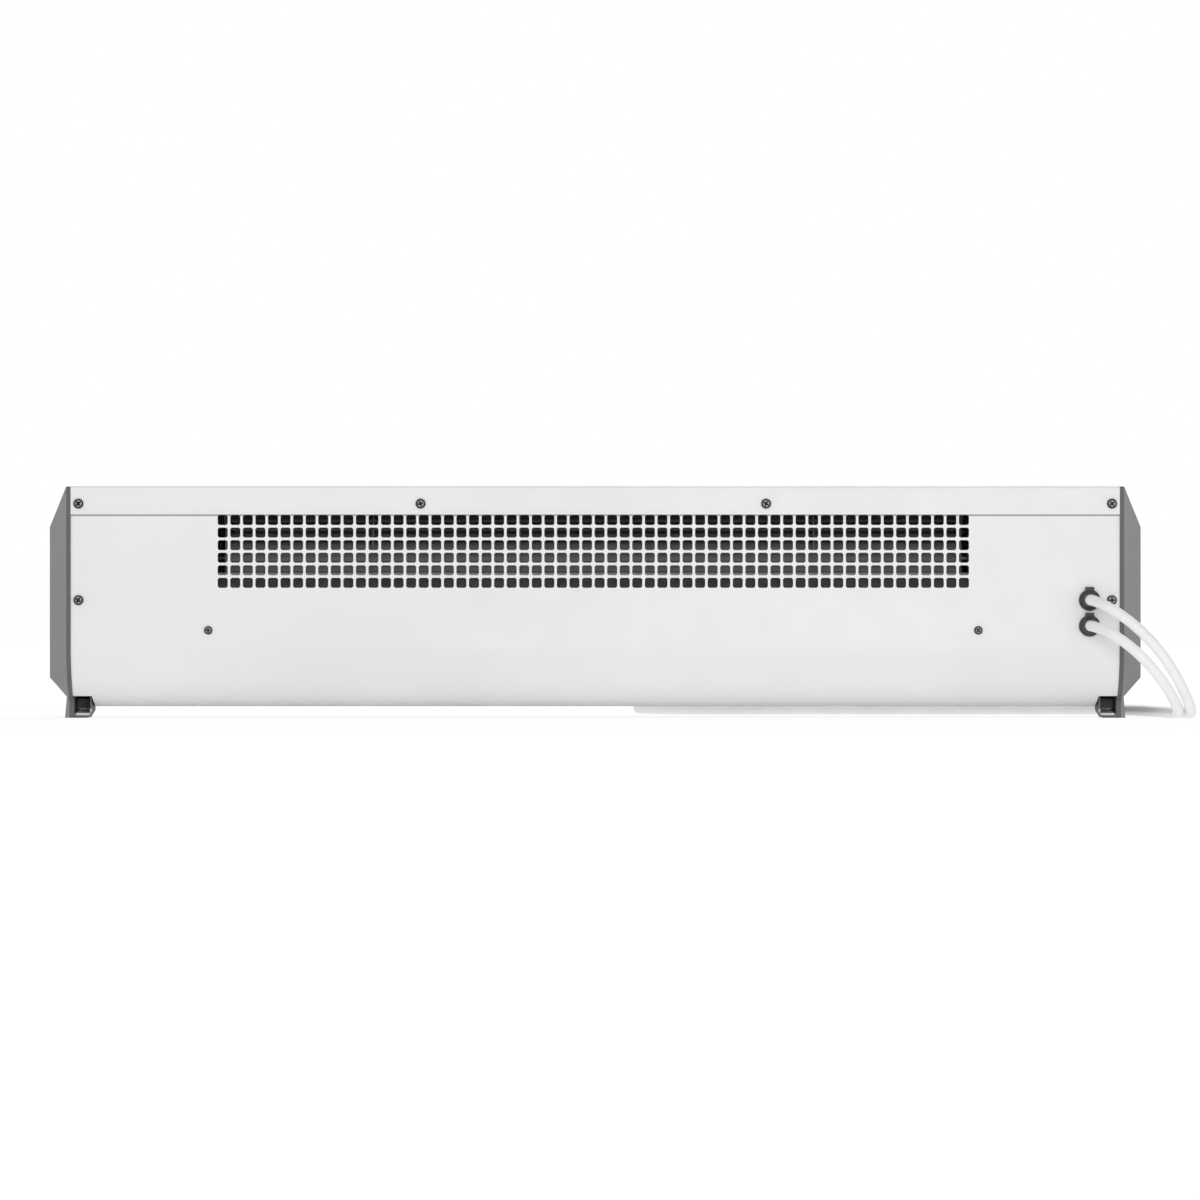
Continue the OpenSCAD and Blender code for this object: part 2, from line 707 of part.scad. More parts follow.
// Holes in both fan plates: screws, heaters, guard rods, vane bushes, the loom and the panels' returns
module plate_holes(x) {
    rear_screw_holes();
    for (i = [-1:1]) rod_x(x - 5, x + 5, heater_y(i), heater_z, heater_bush_r - bush_lip + screw_gap);
    for (y = vane_y) {
        rod_x(x - 5, x + 5, y, guard_z, guard_rod_d/2 + 0.1);
        rod_x(x - 5, x + 5, y, vane_z, vane_bush_r + seat_fit);
    }
    rod_x(x - 5, x + 5, loom_y, loom_z, loom_d/2 + 0.3);
    box_at([x - 5, outlet_rear - sheet_t - seat_gap, 0], [x + 5, outlet_rear + seat_gap, z_floor + return_h + seat_gap]);
    box_at([x - 5, outlet_front - seat_gap, 0],
        [x + 5, outlet_front + sheet_t + seat_gap, z_floor + return_h + seat_gap]);
}
function heater_y(i) = heater_mid_y + i*heater_pitch;

// Scroll sheet: a flange under the top panel, a spiral over the front of the fan, and a skirt to the outlet
function scroll_r(a) = fan_r + scroll_gap + scroll_growth*(scroll_start - a);
module scroll() {
    top = z_top - sheet_t - guide_t;
    spiral = [for (i = [0:15]) let (a = scroll_start + (scroll_end - scroll_start)*i/15)
        [0, fan_z] + scroll_r(a)*[cos(a), sin(a)]];
    path = concat([[spiral[0][0] - scroll_lip, top], [spiral[0][0] - guide_foot_gap, top]], spiral,
        [[scroll_foot_y, fan_z - skirt_drop], [scroll_foot_y, z_floor + sheet_t + guide_foot_gap]]);
    color("#C2C6C8") along_x(left_web_x + 0.1, right_web_x - 0.1) polygon(bent_sheet(path, guide_t));
}

// Tongue sheet: a flange behind the intake face, a nose close to the fan, and a ramp to the outlet
module tongue() {
    flange_y = -inner_y;
    low_hole_z = intake_z - hole_rows*hole_pitch/2;
    path = concat([[flange_y, low_hole_z - intake_edge - tongue_flange_h], [flange_y, low_hole_z - intake_edge]],
        [for (p = tongue_nose) [flange_y, low_hole_z] + p], [for (p = tongue_ramp) [0, fan_z] + p],
        [[tongue_foot_y, z_floor + tongue_flange_h], [tongue_foot_y, z_floor + sheet_t + guide_foot_gap/2]]);
    color("#C2C6C8") along_x(left_web_x + 0.1, right_web_x - 0.1) polygon(bent_sheet(path, -guide_t));
}

// One blade of the rotor: a thin leaf that curves forward towards the rim
function blade(r0, r1, t) = let (n = 4)
    concat([for (i = [0:n]) let (u = i/n, r = r0 + (r1 - r0)*u, a = 14*u*u) r*[cos(a), sin(a)]],
        [for (i = [n:-1:0]) let (u = i/n, r = r0 + (r1 - r0)*u, a = 14*u*u + t*57.3/r) r*[cos(a), sin(a)]]);
module impeller() {
    color("#9EA2A5") translate([fan_x0, 0, fan_z]) rotate([90, 0, 90]) {
        linear_extrude(fan_len) for (k = [0:blade_count - 1]) rotate(k*360/blade_count)
            polygon(blade(blade_in_r, fan_r - 0.3, blade_t));
        for (k = [1:disc_count - 2]) translate([0, 0, k*(fan_len - disc_t)/(disc_count - 1)])
            linear_extrude(disc_t) difference() {
                circle(fan_r);
                circle(blade_in_r - 1.5);
            }
        for (z = [0, fan_len - end_disc_t]) translate([0, 0, z]) linear_extrude(end_disc_t) difference() {
            circle(fan_r);
            circle(shaft_d/2 + hub_fit);
        }
        for (z = [end_disc_t - 0.5, fan_len - hub_len]) translate([0, 0, z])
            linear_extrude(hub_len - end_disc_t + 0.5) difference() {
                circle(hub_r);
                circle(shaft_d/2 + hub_fit);
            }
    }
}
module motor_shaft() color("#A9ACAF") rod_x(bracket_out_x - bush_len, fan_x0 + hub_len - 1, 0, fan_z, shaft_d/2);
module stub_shaft() color("#A9ACAF") rod_x(fan_x1 - hub_len + 1, right_bay_x + cup_len + 8, 0, fan_z, shaft_d/2);

// --- Motor ---

module motor_rotor() {
    color("#8D9092") difference() {
        union() {
            rod_x(stator_x0, stator_x1, 0, fan_z, rotor_r);
            rod_x(stator_x0 - 4, stator_x1 + 4, 0, fan_z, rotor_r - 2);
        }
        rod_x(stator_x0 - 6, stator_x1 + 6, 0, fan_z, shaft_d/2 + hub_fit);
    }
}
module motor_stator() {
    color("#6F7274") difference() {
        box_at([stator_x0, -stator_half, fan_z - stator_down], [stator_x1, stator_half, fan_z + stator_up]);
        box_at([stator_x0 - 1, -leg_in, fan_z - stator_down + limb_h], [stator_x1 + 1, leg_in, fan_z - ring_r]);
        rod_x(stator_x0 - 1, stator_x1 + 1, 0, fan_z, rotor_r + air_gap);
        for (y = [-motor_screw_y, motor_screw_y])
            rod_x(stator_x0 - 1, stator_x1 + 1, y, fan_z, motor_screw_d/2 + screw_gap);
    }
}
// Coil wound round the stator's lower limb
module motor_coil() {
    limb_z = fan_z - stator_down;
    color("#B5722E") difference() {
        box_at([stator_x0 - coil_over, -coil_half, coil_low_z],
            [stator_x1 + coil_over, coil_half, limb_z + limb_h + coil_wall]);
        box_at([stator_x0 - 0.2, -leg_in, limb_z - 0.2], [stator_x1 + 0.2, leg_in, limb_z + limb_h + 0.2]);
    }
}
// A cast bracket across the motor, with legs of length leg on the side s and a boss for a bush
module motor_bracket(x, s, leg) {
    far = x + s*leg;
    difference() {
        union() {
            box_at([x, -motor_screw_y - 5, fan_z - bracket_half], [x + bracket_t, motor_screw_y + 5, fan_z + bracket_half]);
            rod_x(x - (bush_len - bracket_t)/2, x + (bush_len + bracket_t)/2, 0, fan_z, bracket_hub_r);
            for (y = [-motor_screw_y, motor_screw_y]) {
                rod_x(x - bracket_off*(s < 0 ? 1 : 0), x + bracket_t + bracket_off*(s > 0 ? 1 : 0), y, fan_z, pillar_r);
                if (leg > 0) rod_x(min(x, far), max(x + bracket_t, far), y, fan_z, pillar_r);
            }
        }
        rod_x(x - 20, x + 20, 0, fan_z, bush_r);
        for (y = [-motor_screw_y, motor_screw_y])
            rod_x(x - 30, x + 30, y, fan_z, motor_screw_d/2 + screw_gap);
    }
}
module motor_bracket_inner() color("#A4A7A9") {
    motor_bracket(bracket_in_x - bracket_t, -1, 0);
    for (y = [-motor_screw_y, motor_screw_y]) difference() {
        rod_x(bracket_in_x - bracket_t/2, left_bay_x, y, fan_z, pillar_r);
        rod_x(bracket_in_x - 5, left_bay_x + 1, y, fan_z, motor_screw_d/2 + screw_gap);
    }
}
module motor_bracket_outer() color("#A4A7A9") motor_bracket(bracket_out_x, 1, 0);
module motor_bushes() {
    color("#B08D57") for (x = [bracket_in_x - bracket_t, bracket_out_x]) difference() {
        rod_x(x - (bush_len - bracket_t)/2, x + (bush_len + bracket_t)/2, 0, fan_z, bush_r - 0.01);
        rod_x(x - 20, x + 20, 0, fan_z, shaft_d/2 + bush_clear);
    }
}
module motor_screws() {
    length = left_web_x + 4 - bracket_out_x;
    color("#C9CCCE") for (y = [-motor_screw_y, motor_screw_y]) translate([bracket_out_x, y, fan_z])
        rotate([0, 90, 0]) pan_screw(motor_screw_d, screw_head_d, screw_head_h, length);
}

// --- Bearing on the right fan plate ---

module bearing_cup() {
    x = right_bay_x;
    color("#B9BDC0") difference() {
        union() {
            rod_x(x, x + cup_t, 0, fan_z, cup_flange_r);
            rod_x(x, x + cup_len, 0, fan_z, cup_r);
        }
        rod_x(x - 1, x + cup_len - cup_t, 0, fan_z, cup_r - cup_t);
        rod_x(x - 1, x + cup_len + 1, 0, fan_z, bearing_r + 2);
    }
}
module bearing_rubber() {
    x = right_bay_x;
    color("#2B2C2D") difference() {
        rod_x(x + 0.05, x + cup_len - cup_t, 0, fan_z, rubber_r);
        rod_x(x - 1, x + cup_len, 0, fan_z, bearing_r);
    }
}
module bearing_bush() {
    x = right_bay_x;
    color("#B08D57") difference() {
        rod_x(x - 1.5, x + cup_len + 1, 0, fan_z, bearing_r - 0.01);
        rod_x(x - 3, x + cup_len + 3, 0, fan_z, shaft_d/2 + bush_clear);
    }
}

// --- Heaters, guard and vanes ---

// A tubular heater with its fins turned in one profile along its length, and a terminal pin at each end
module heater(i) {
    x0 = left_bay_x - heater_end;
    length = right_bay_x + heater_end - x0;
    fins = floor(2*(bay_x - fin_margin)/fin_pitch);
    fin0 = (length - (fins - 1)*fin_pitch - fin_t)/2;
    side = [for (k = [0:fins - 1]) let (z = fin0 + k*fin_pitch)
        each [[heater_d/2, z], [fin_d/2, z], [fin_d/2, z + fin_t], [heater_d/2, z + fin_t]]];
    color("#7C7F82") translate([x0, heater_y(i), heater_z]) rotate([0, 90, 0]) {
        rotate_extrude() polygon(concat([[0, 0], [heater_d/2, 0]], side, [[heater_d/2, length], [0, length]]));
        for (z = [-heater_pin_len, length - 1]) translate([0, 0, z])
            cylinder(h = heater_pin_len + 1, d = heater_pin_d);
    }
}
module heater_rear() heater(-1);
module heater_middle() heater(0);
module heater_front() heater(1);
module heater_bushes() {
    color("#E8E2D2") for (i = [-1:1]) {
        flanged_bush(left_web_x, -1, heater_y(i), heater_z, heater_bush_r - bush_lip, heater_bush_r, heater_d/2 + seat_fit);
        flanged_bush(right_web_x, 1, heater_y(i), heater_z, heater_bush_r - bush_lip, heater_bush_r, heater_d/2 + seat_fit);
    }
}
// A bush through a fan plate whose flange lies in the bay on side s
module flanged_bush(x, s, y, z, r, flange_r, bore_r) {
    bay = x + s*plate_t;
    face = bay + s*bush_flange_t;
    difference() {
        union() {
            rod_x(min(x, face), max(x, face), y, z, r);
            rod_x(min(bay, face), max(bay, face), y, z, flange_r);
        }
        rod_x(x - 8, x + 8, y, z, bore_r);
    }
}
module thermal_cutout() {
    z = fan_z - cutout_drop;
    color("#3A3B3C") {
        rod_x(right_bay_x, right_bay_x + cutout_h, cutout_y, z, cutout_r);
        for (s = [-1, 1]) box_at([right_bay_x + cutout_h - 0.5, cutout_y + s*tag_w/1.5 - tag_w/2, z - tag_t/2],
            [right_bay_x + cutout_h + tag_len, cutout_y + s*tag_w/1.5 + tag_w/2, z + tag_t/2]);
    }
}
module outlet_guard() {
    span = 2*(bay_x - guard_margin);
    color("#9FA3A6") {
        for (y = vane_y) rod_x(left_bay_x - guard_end, right_bay_x + guard_end, y, guard_z, guard_rod_d/2);
        for (i = [0:guard_wires - 1]) translate([works_shift - span/2 + i*span/(guard_wires - 1), outlet_rear + 1, guard_z])
            rotate([-90, 0, 0]) cylinder(h = outlet_front - outlet_rear - 2, d = guard_wire_d);
    }
}
module air_vane_rear() air_vane(vane_y[0]);
module air_vane_front() air_vane(vane_y[1]);
module air_vane(y) {
    x0 = left_web_x + vane_gap;
    x1 = right_web_x - vane_gap;
    half = (vane_chord - vane_t)/2;
    color("#E3E3E1") {
        along_x(x0, x1) translate([y, vane_z]) {
            square([vane_t, 2*half], center = true);
            for (s = [-1, 1]) translate([0, s*half]) circle(d = vane_t);
            circle(d = vane_pin_d + 1);
        }
        rod_x(x0 - vane_gap - plate_t - vane_pin_end, x1 + vane_gap + plate_t + vane_pin_end, y, vane_z, vane_pin_d/2);
    }
}
module vane_bushes() {
    color("#F0EFEA") for (y = vane_y) {
        flanged_bush(left_web_x, -1, y, vane_z, vane_bush_r, vane_bush_flange_r, vane_pin_d/2 + bush_clear);
        flanged_bush(right_web_x, 1, y, vane_z, vane_bush_r, vane_bush_flange_r, vane_pin_d/2 + bush_clear);
    }
}

// --- Electrics in the right bay ---

module electrics_tray() {
    flange_half = cap_boss_y - cap_boss_d/2 - tray_flange_gap;
    color("#B9BDC0") {
        box_at([tray_x0, tray_y0, tray_z], [side_in_x, tray_y1, tray_z + plate_t]);
        box_at([side_in_x - plate_t, -flange_half, tray_z], [side_in_x, flange_half, tray_z + tray_flange_h]);
        for (x = [board_x0 + boss_in, board_x1 - boss_in], y = [board_y0 + boss_in, board_y1 - boss_in])
            translate([x, y, tray_z]) cylinder(h = board_z - tray_z, r = boss_r);
    }
}
module terminal_block() {
    x0 = board_x0 + 2;
    z0 = tray_z + plate_t;
    color("#EDE9DC") difference() {
        box_at([x0, terminal_y0, z0], [x0 + (poles + 0.2)*pole_w, terminal_y0 + terminal_w, z0 + terminal_h]);
        for (k = [0:poles - 1], y = [terminal_y0 + 0.2*terminal_w, terminal_y0 + 0.8*terminal_w])
            translate([x0 + (k + 0.6)*pole_w, y, z0 + terminal_h - pole_depth]) cylinder(h = pole_depth + 1, d = pole_d);
    }
}
module relay_board() {
    top = board_z + board_t - 0.1;
    color("#2F6B45") box_at([board_x0, board_y0, board_z], [board_x1, board_y1, board_z + board_t]);
    color("#23272B") for (k = [0:2]) translate([board_x0 + boss_in + k*relay_pitch, board_y1 - 34, top])
        cube(relay_size);
    color("#E8E4D4") box_at([board_x1 - boss_in - plug_block[0], board_y0 + 3, top],
        [board_x1 - boss_in, board_y0 + 3 + plug_block[1], control_plug_z]);
    color("#E8E4D4") box_at([board_x0 + 3, board_y1 - 6.5 - loom_block[1], top],
        [board_x0 + 3 + loom_block[0], board_y1 - 6.5, board_z + loom_block_h]);
}
module earth_stud() {
    color("#C8B06A") {
        rod_x(side_in_x - stud_len, side_in_x, stud_y, stud_z, 2.5);
        translate([side_in_x - 9, stud_y, stud_z]) rotate([0, 90, 0]) cylinder(h = 4, r = 4.6, $fn = 6);
        rod_x(side_in_x - 5.2, side_in_x - 4, stud_y, stud_z, 6);
    }
}
module wiring_loom() color("#2E2F31") tube(loom_route, loom_d/2, 8);
module mains_tail() color("#EFEFED") tube(mains_tail_route, lead_r - 0.02, lead_sides);
module control_tail() color("#EFEFED") tube(control_tail_route, lead_r - 0.02, lead_sides);

// --- Glands and fasteners ---

module gland_upper() gland(gland_high_z);
module gland_lower() gland(gland_low_z);
// A strain-relief gland: a flange and a short nose outside, a body through the panel, and a tab on top
module gland(z) {
    color("#2F3031") translate([gland_x, -panel_y, z]) rotate([90, 0, 0]) difference() {
        union() {
            rotate_extrude() polygon([[0, -gland_tail], [gland_body_r - 0.6, -gland_tail], [gland_body_r, 0],
                [gland_flange_r, 0], [gland_flange_r, gland_flange_t - 0.6], [gland_flange_r - 0.6, gland_flange_t],
                [gland_body_r + 0.4, gland_flange_t + 0.4], [lead_r + 1.2, gland_nose], [0, gland_nose]]);
            translate([-3.5, gland_flange_r - 1, 0]) cube([7, 3, gland_flange_t - 0.4]);
        }
        translate([0, 0, -gland_tail - 1]) cylinder(h = gland_tail + gland_nose + 2, r = lead_r + 0.05);
    }
}
// Hexagon nuts welded under the top panel at its hanging holes
module weld_nuts() {
    color("#C9CCCE") for (x = [-mount_x, mount_x], y = [-mount_y, mount_y])
        translate([x, y, z_top - sheet_t - nut_h]) difference() {
            cylinder(h = nut_h, d = nut_w/cos(30), $fn = 6);
            translate([0, 0, -1]) cylinder(h = nut_h + 2, d = nut_bore_d);
        }
}
module rear_screw(x, y, z) translate([x, y, z]) rotate([-90, 0, 0]) children();
module panel_screws() {
    color("#C4C6C6") {
        for (x = [-corner_screw_x, corner_screw_x, works_shift - lip_screw_x, works_shift + lip_screw_x])
            rear_screw(x, -body_d/2, lip_screw_z) pan_screw(screw_d, screw_head_d, screw_head_h, screw_len);
        for (x = [-corner_screw_x, corner_screw_x])
            rear_screw(x, -panel_y, side_screw_z) pan_screw(screw_d, screw_head_d, screw_head_h, screw_len);
    }
}
module fan_plate_screws() {
    color("#D2D4D4") for (s = [-1, 1]) rear_screw(works_shift + s*small_screw_x, -panel_y, small_screw_z)
        pan_screw(small_screw_d, small_head_d, 2, 6);
}
module cap_screws() {
    color("#C9CCCE") for (s = [0, 1]) mirror([s, 0, 0])
        for (y = [-cap_boss_y, cap_boss_y], z = [cap_boss_low_z, cap_boss_high_z])
            translate([side_in_x, y, z]) rotate([0, 90, 0]) pan_screw(cap_screw_d, 7, 2, cap_screw_len);
}

// --- Leads, plug and wall control ---

module mains_lead() color("#EFEFED") tube(mains_route, lead_r, lead_sides);
module control_lead() color("#EFEFED") tube(control_route, lead_r, lead_sides);
module mains_coil() color("#EFEFED") tube(mains_coil_path, lead_r, coil_sides);
module control_coil() color("#EFEFED") tube(control_coil_path, lead_r, coil_sides);

// Two-pin earthed plug lying on the floor, its pins towards +X
module plug_body() {
    x = mains_coil_c[0] + plug_run;
    color("#ECECEA") translate([x, mains_coil_c[1] + coil_out_r, plug_z]) rotate([0, 90, 0]) difference() {
        rotate_extrude() polygon([[0, 0], [lead_r + 1.5, 0], [8, plug_len - 36], [10, plug_len - 32],
            [plug_r - 2, plug_len - 24], [plug_r, plug_len - 18], [plug_r, plug_len - 2], [plug_r - 1.4, plug_len],
            [0, plug_len]]);
        translate([0, 0, plug_len - 12]) cylinder(h = 20, d = 5);
        for (s = [-1, 1]) translate([s*(plug_r - 0.4) - 2.5, -3.5, plug_len - 16]) cube([5, 7, 20]);
    }
}
module plug_pins() {
    x = mains_coil_c[0] + plug_run + plug_len;
    y = mains_coil_c[1] + coil_out_r;
    color("#C9CCCE") for (s = [-1, 1]) rod_x(x, x + pin_len, y + s*pin_pitch/2, plug_z, pin_d/2);
    color("#C9CCCE") for (s = [-1, 1]) translate([x - 15.5, y - 3, plug_z + s*(plug_r - 2.4) - 0.5]) cube([14, 6, 1]);
}

// Surface box for the wall, with two fixing holes in its back
module control_base() {
    low = [box_x0, box_cy - box_w/2, box_z0];
    color("#F1F1EF") difference() {
        translate(low) cube([box_w, box_w, box_h]);
        translate(low + [box_wall, box_wall, box_wall]) cube([box_w - 2*box_wall, box_w - 2*box_wall, box_h]);
        for (s = [-1, 1]) translate([box_cx + s*fixing_span/2, box_cy, box_z0 - 1])
            cylinder(h = box_wall + 2, d = fixing_hole_d);
    }
}
module control_cover() {
    inner = box_w - 2*box_wall;
    color("#F4F4F2") difference() {
        translate([box_x0, box_cy - box_w/2, cover_z]) cube([box_w, box_w, cover_h]);
        translate([box_cx - inner/2, box_cy - inner/2, cover_z - 1]) cube([inner, inner, cover_h - box_wall + 1]);
        for (s = [-1, 1]) translate([rocker_x - rocker_w/2 - rocker_gap, box_cy + s*rocker_dy - rocker_l/2 - rocker_gap, cover_z])
            cube([rocker_w + 2*rocker_gap, rocker_l + 2*rocker_gap, cover_h + 1]);
        translate([knob_x, box_cy, cover_z]) cylinder(h = cover_h + 1, d = spindle_d + 2);
    }
}
// Switch frames with their pivot pins, and the thermostat's body, hung under the cover
module control_switches() {
    z1 = cover_top_z - box_wall;
    color("#2B2C2D") for (s = [-1, 1]) translate([rocker_x, box_cy + s*rocker_dy, 0]) {
        difference() {
            translate([-rocker_w/2 - rocker_gap - switch_wall, -rocker_l/2 - rocker_gap - switch_wall, z1 - switch_h])
                cube([rocker_w + 2*(rocker_gap + switch_wall), rocker_l + 2*(rocker_gap + switch_wall), switch_h]);
            translate([-rocker_w/2 - rocker_gap, -rocker_l/2 - rocker_gap, z1 - switch_h + switch_wall])
                cube([rocker_w + 2*rocker_gap, rocker_l + 2*rocker_gap, switch_h]);
        }
        rod_x(-rocker_w/2 - rocker_gap - 1, rocker_w/2 + rocker_gap + 1, 0, rocker_axis_z - 1.5, rocker_pin_d/2);
    }
    color("#3A3B3C") translate([knob_x, box_cy, z1 - 12]) difference() {
        cylinder(h = 12, d = 26);
        translate([0, 0, 2]) cylinder(h = 12, r = spindle_d/2 + pivot_gap);
    }
}
module rocker_fan() rocker(-1);
module rocker_heat() rocker(1);
// A rocker lying at its off position, turned on a pin that runs along X
module rocker(s) {
    color("#D9DBDB") translate([rocker_x - rocker_w/2, box_cy + s*rocker_dy, rocker_axis_z - 1.5])
        rotate([rocker_tilt, 0, 0]) rotate([90, 0, 90]) linear_extrude(rocker_w) difference() {
            polygon([[-rocker_l/2, -2], [-rocker_l/2 + 3, -6], [rocker_l/2 - 3, -6], [rocker_l/2, -2],
                [rocker_l/2 - 0.2, 4 + rocker_rise], [0, 4], [-rocker_l/2 + 0.2, 4 + rocker_rise]]);
            circle(rocker_pin_d/2 + pivot_gap);
        }
}
module thermostat_knob() {
    z0 = cover_top_z + 0.4;
    color("#D9DBDB") translate([knob_x, box_cy, 0]) difference() {
        union() {
            translate([0, 0, z0]) rotate_extrude() polygon([[0, 0], [knob_r, 0], [knob_r, 2], [knob_r - 1.5, 3],
                [knob_r - 2.5, knob_h - 1], [knob_r - 3.5, knob_h], [0, knob_h]]);
            translate([0, 0, cover_top_z - box_wall - 8]) cylinder(h = 12, d = spindle_d);
        }
        translate([knob_r - 6, -0.6, z0 + knob_h - 0.8]) cube([6, 1.2, 2]);
    }
}

top_panel();
rear_panel();
front_panel();
bay_floors();
side_plate_left();
side_plate_right();
end_cap_left();
end_cap_right();
fan_plate_left();
fan_plate_right();
scroll();
tongue();
impeller();
motor_shaft();
stub_shaft();
motor_rotor();
motor_stator();
motor_coil();
motor_bracket_inner();
motor_bracket_outer();
motor_bushes();
motor_screws();
bearing_cup();
bearing_rubber();
bearing_bush();
heater_rear();
heater_middle();
heater_front();
heater_bushes();
thermal_cutout();
outlet_guard();
air_vane_rear();
air_vane_front();
vane_bushes();
electrics_tray();
terminal_block();
relay_board();
earth_stud();
wiring_loom();
mains_tail();
control_tail();
gland_upper();
gland_lower();
weld_nuts();
panel_screws();
fan_plate_screws();
cap_screws();
mains_lead();
mains_coil();
plug_body();
plug_pins();
control_lead();
control_coil();
control_base();
control_cover();
control_switches();
rocker_fan();
rocker_heat();
thermostat_knob();
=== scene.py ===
"""The looks of an air curtain: its finishes, rounded edges, two leads and the small pieces with
them.

X runs along the casing, Y from the intake face to the room side, and Z up from what the feet stand
on. All places are in metres, in the same frame as the solids. Sizes of single details are in
millimetres, times MM.
"""
import json
import math

import bmesh
import bpy
from mathutils import Matrix, Vector


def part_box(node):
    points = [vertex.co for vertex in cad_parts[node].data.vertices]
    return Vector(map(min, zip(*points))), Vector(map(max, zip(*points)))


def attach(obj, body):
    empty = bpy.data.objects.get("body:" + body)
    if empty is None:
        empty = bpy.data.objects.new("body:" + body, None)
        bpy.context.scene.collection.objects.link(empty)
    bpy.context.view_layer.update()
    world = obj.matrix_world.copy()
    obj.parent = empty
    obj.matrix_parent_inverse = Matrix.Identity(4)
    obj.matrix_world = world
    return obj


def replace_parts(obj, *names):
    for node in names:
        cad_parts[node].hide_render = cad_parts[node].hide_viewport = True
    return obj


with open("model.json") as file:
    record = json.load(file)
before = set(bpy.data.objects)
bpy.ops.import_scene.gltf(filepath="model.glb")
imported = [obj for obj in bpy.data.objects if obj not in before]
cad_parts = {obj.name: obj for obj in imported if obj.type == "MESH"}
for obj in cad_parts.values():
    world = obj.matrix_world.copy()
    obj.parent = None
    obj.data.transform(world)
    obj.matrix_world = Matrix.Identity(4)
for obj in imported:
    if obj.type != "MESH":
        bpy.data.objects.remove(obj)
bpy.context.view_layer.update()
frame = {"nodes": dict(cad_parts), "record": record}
MM = 0.001
scene = bpy.context.scene


def linked(name, data):
    made = bpy.data.objects.new(name, data)
    scene.collection.objects.link(made)
    return made


# --- Camera: straight on to the intake face, at the height of the photograph's middle ---

PHOTO_PX = 1200
MM_PER_PX = 0.796
CASING_MIDDLE_PX = 595.2
FEET_LINE_PX = 718.5
EYE_DISTANCE = 5.0
SENSOR_MM = 36.0

intake_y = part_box("rear_panel")[0][1]


def make_camera():
    camera = bpy.data.cameras.new("camera")
    camera.sensor_width = SENSOR_MM
    camera.lens = SENSOR_MM * EYE_DISTANCE / (PHOTO_PX * MM_PER_PX * MM)
    camera.clip_end = 50
    holder = linked("camera", camera)
    across = (PHOTO_PX / 2 - CASING_MIDDLE_PX) * MM_PER_PX * MM
    height = (FEET_LINE_PX - PHOTO_PX / 2) * MM_PER_PX * MM
    holder.location = (across, intake_y - EYE_DISTANCE, height)
    holder.rotation_euler = (math.radians(90), 0, 0)
    scene.camera = holder


make_camera()


# --- Nodes and colours ---

NOISE, RANGE, COLOUR_MIX = "ShaderNodeTexNoise", "ShaderNodeMapRange", "ShaderNodeMix"
APART, COORDINATES, MATH = "ShaderNodeSeparateXYZ", "ShaderNodeTexCoord", "ShaderNodeMath"


def linear(hex_colour):
    """An sRGB hex colour as the linear colour that a shader takes."""
    parts = [int(hex_colour[i:i + 2], 16) / 255 for i in (1, 3, 5)]
    return tuple(c / 12.92 if c <= 0.04045 else ((c + 0.055) / 1.055) ** 2.4
                 for c in parts) + (1.0,)


def add(tree, kind, inputs=(), **settings):
    """Adds a node with its settings. inputs is a row of values for its first sockets, or maps a
    socket's name or number to its value. Another node's output as a value makes a link, and a
    node stands for its first output."""
    node = tree.nodes.new(kind)
    for name, value in settings.items():
        setattr(node, name, value)
    for key, value in inputs.items() if isinstance(inputs, dict) else enumerate(inputs):
        if isinstance(value, bpy.types.Node):
            value = value.outputs[0]
        if isinstance(value, bpy.types.NodeSocket):
            tree.links.new(value, node.inputs[key])
        else:
            node.inputs[key].default_value = value
    return node


def cleared(owner):
    """The node tree of a material or a world, emptied."""
    owner.use_nodes = True
    owner.node_tree.nodes.clear()
    return owner.node_tree


def new_finish(name):
    """A material, its empty tree, and the place on the object, which its patterns read."""
    material = bpy.data.materials.new(name)
    tree = cleared(material)
    return material, tree, add(tree, COORDINATES).outputs["Object"]


def tinted(tree, value, low, high, dark, light, most=1):
    """A colour that goes from dark to light as a value goes from low to high, or only as far as
    most. Each of the two is a hex colour or another node's colour."""
    share = add(tree, RANGE, (value, low, high, 0, most))
    ends = [linear(end) if isinstance(end, str) else end for end in (dark, light)]
    mix = add(tree, COLOUR_MIX, {0: share, 6: ends[0], 7: ends[1]}, data_type="RGBA")
    return mix.outputs[2]


def finished(material, colour, roughness, height, depth_mm, strength=0.4, coat=0.0, **constants):
    """Ends a material: one shader takes its colour, its roughness and a relief that is depth_mm
    deep. What is the same all over sits on the shader's own sockets."""
    tree = material.node_tree
    relief = add(tree, "ShaderNodeBump", {
        "Height": height, "Distance": depth_mm * MM, "Strength": strength})
    shader = add(tree, "ShaderNodeBsdfPrincipled", {
        "Base Color": colour, "Roughness": roughness, "Normal": relief, "Coat Weight": coat,
        **constants})
    add(tree, "ShaderNodeOutputMaterial", {"Surface": shader.outputs["BSDF"]})
    return material


# --- Finishes. A noise's scale is 1000 over the width of its cells in mm ---

# A noise hardly ever leaves WIDE. Read between the limits of CLEAR, its patches show more.
WIDE, CLEAR = (0.3, 0.7), (0.35, 0.65)
# At scale 1 the bands of a wave are this many mm wide
WAVE_MM = 1000 * math.tau / 20

CAP_RIM_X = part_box("front_panel")[1][0] + 3.5 * MM
NOSE_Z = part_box("tongue")[1][2]
LIP_EDGE_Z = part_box("top_panel")[0][2]
# The painted highlight on the feet's lips reaches as far out as this, and lies between these
# heights
LIP_HIGHLIGHT_X = 415.5 * MM
LIP_HIGHLIGHT_LOW_Z, LIP_HIGHLIGHT_HIGH_Z = 2.2 * MM, 7.0 * MM
# Only the flat of a screw's head stands out further than this from the intake face
HEAD_FLAT = 1.7 * MM


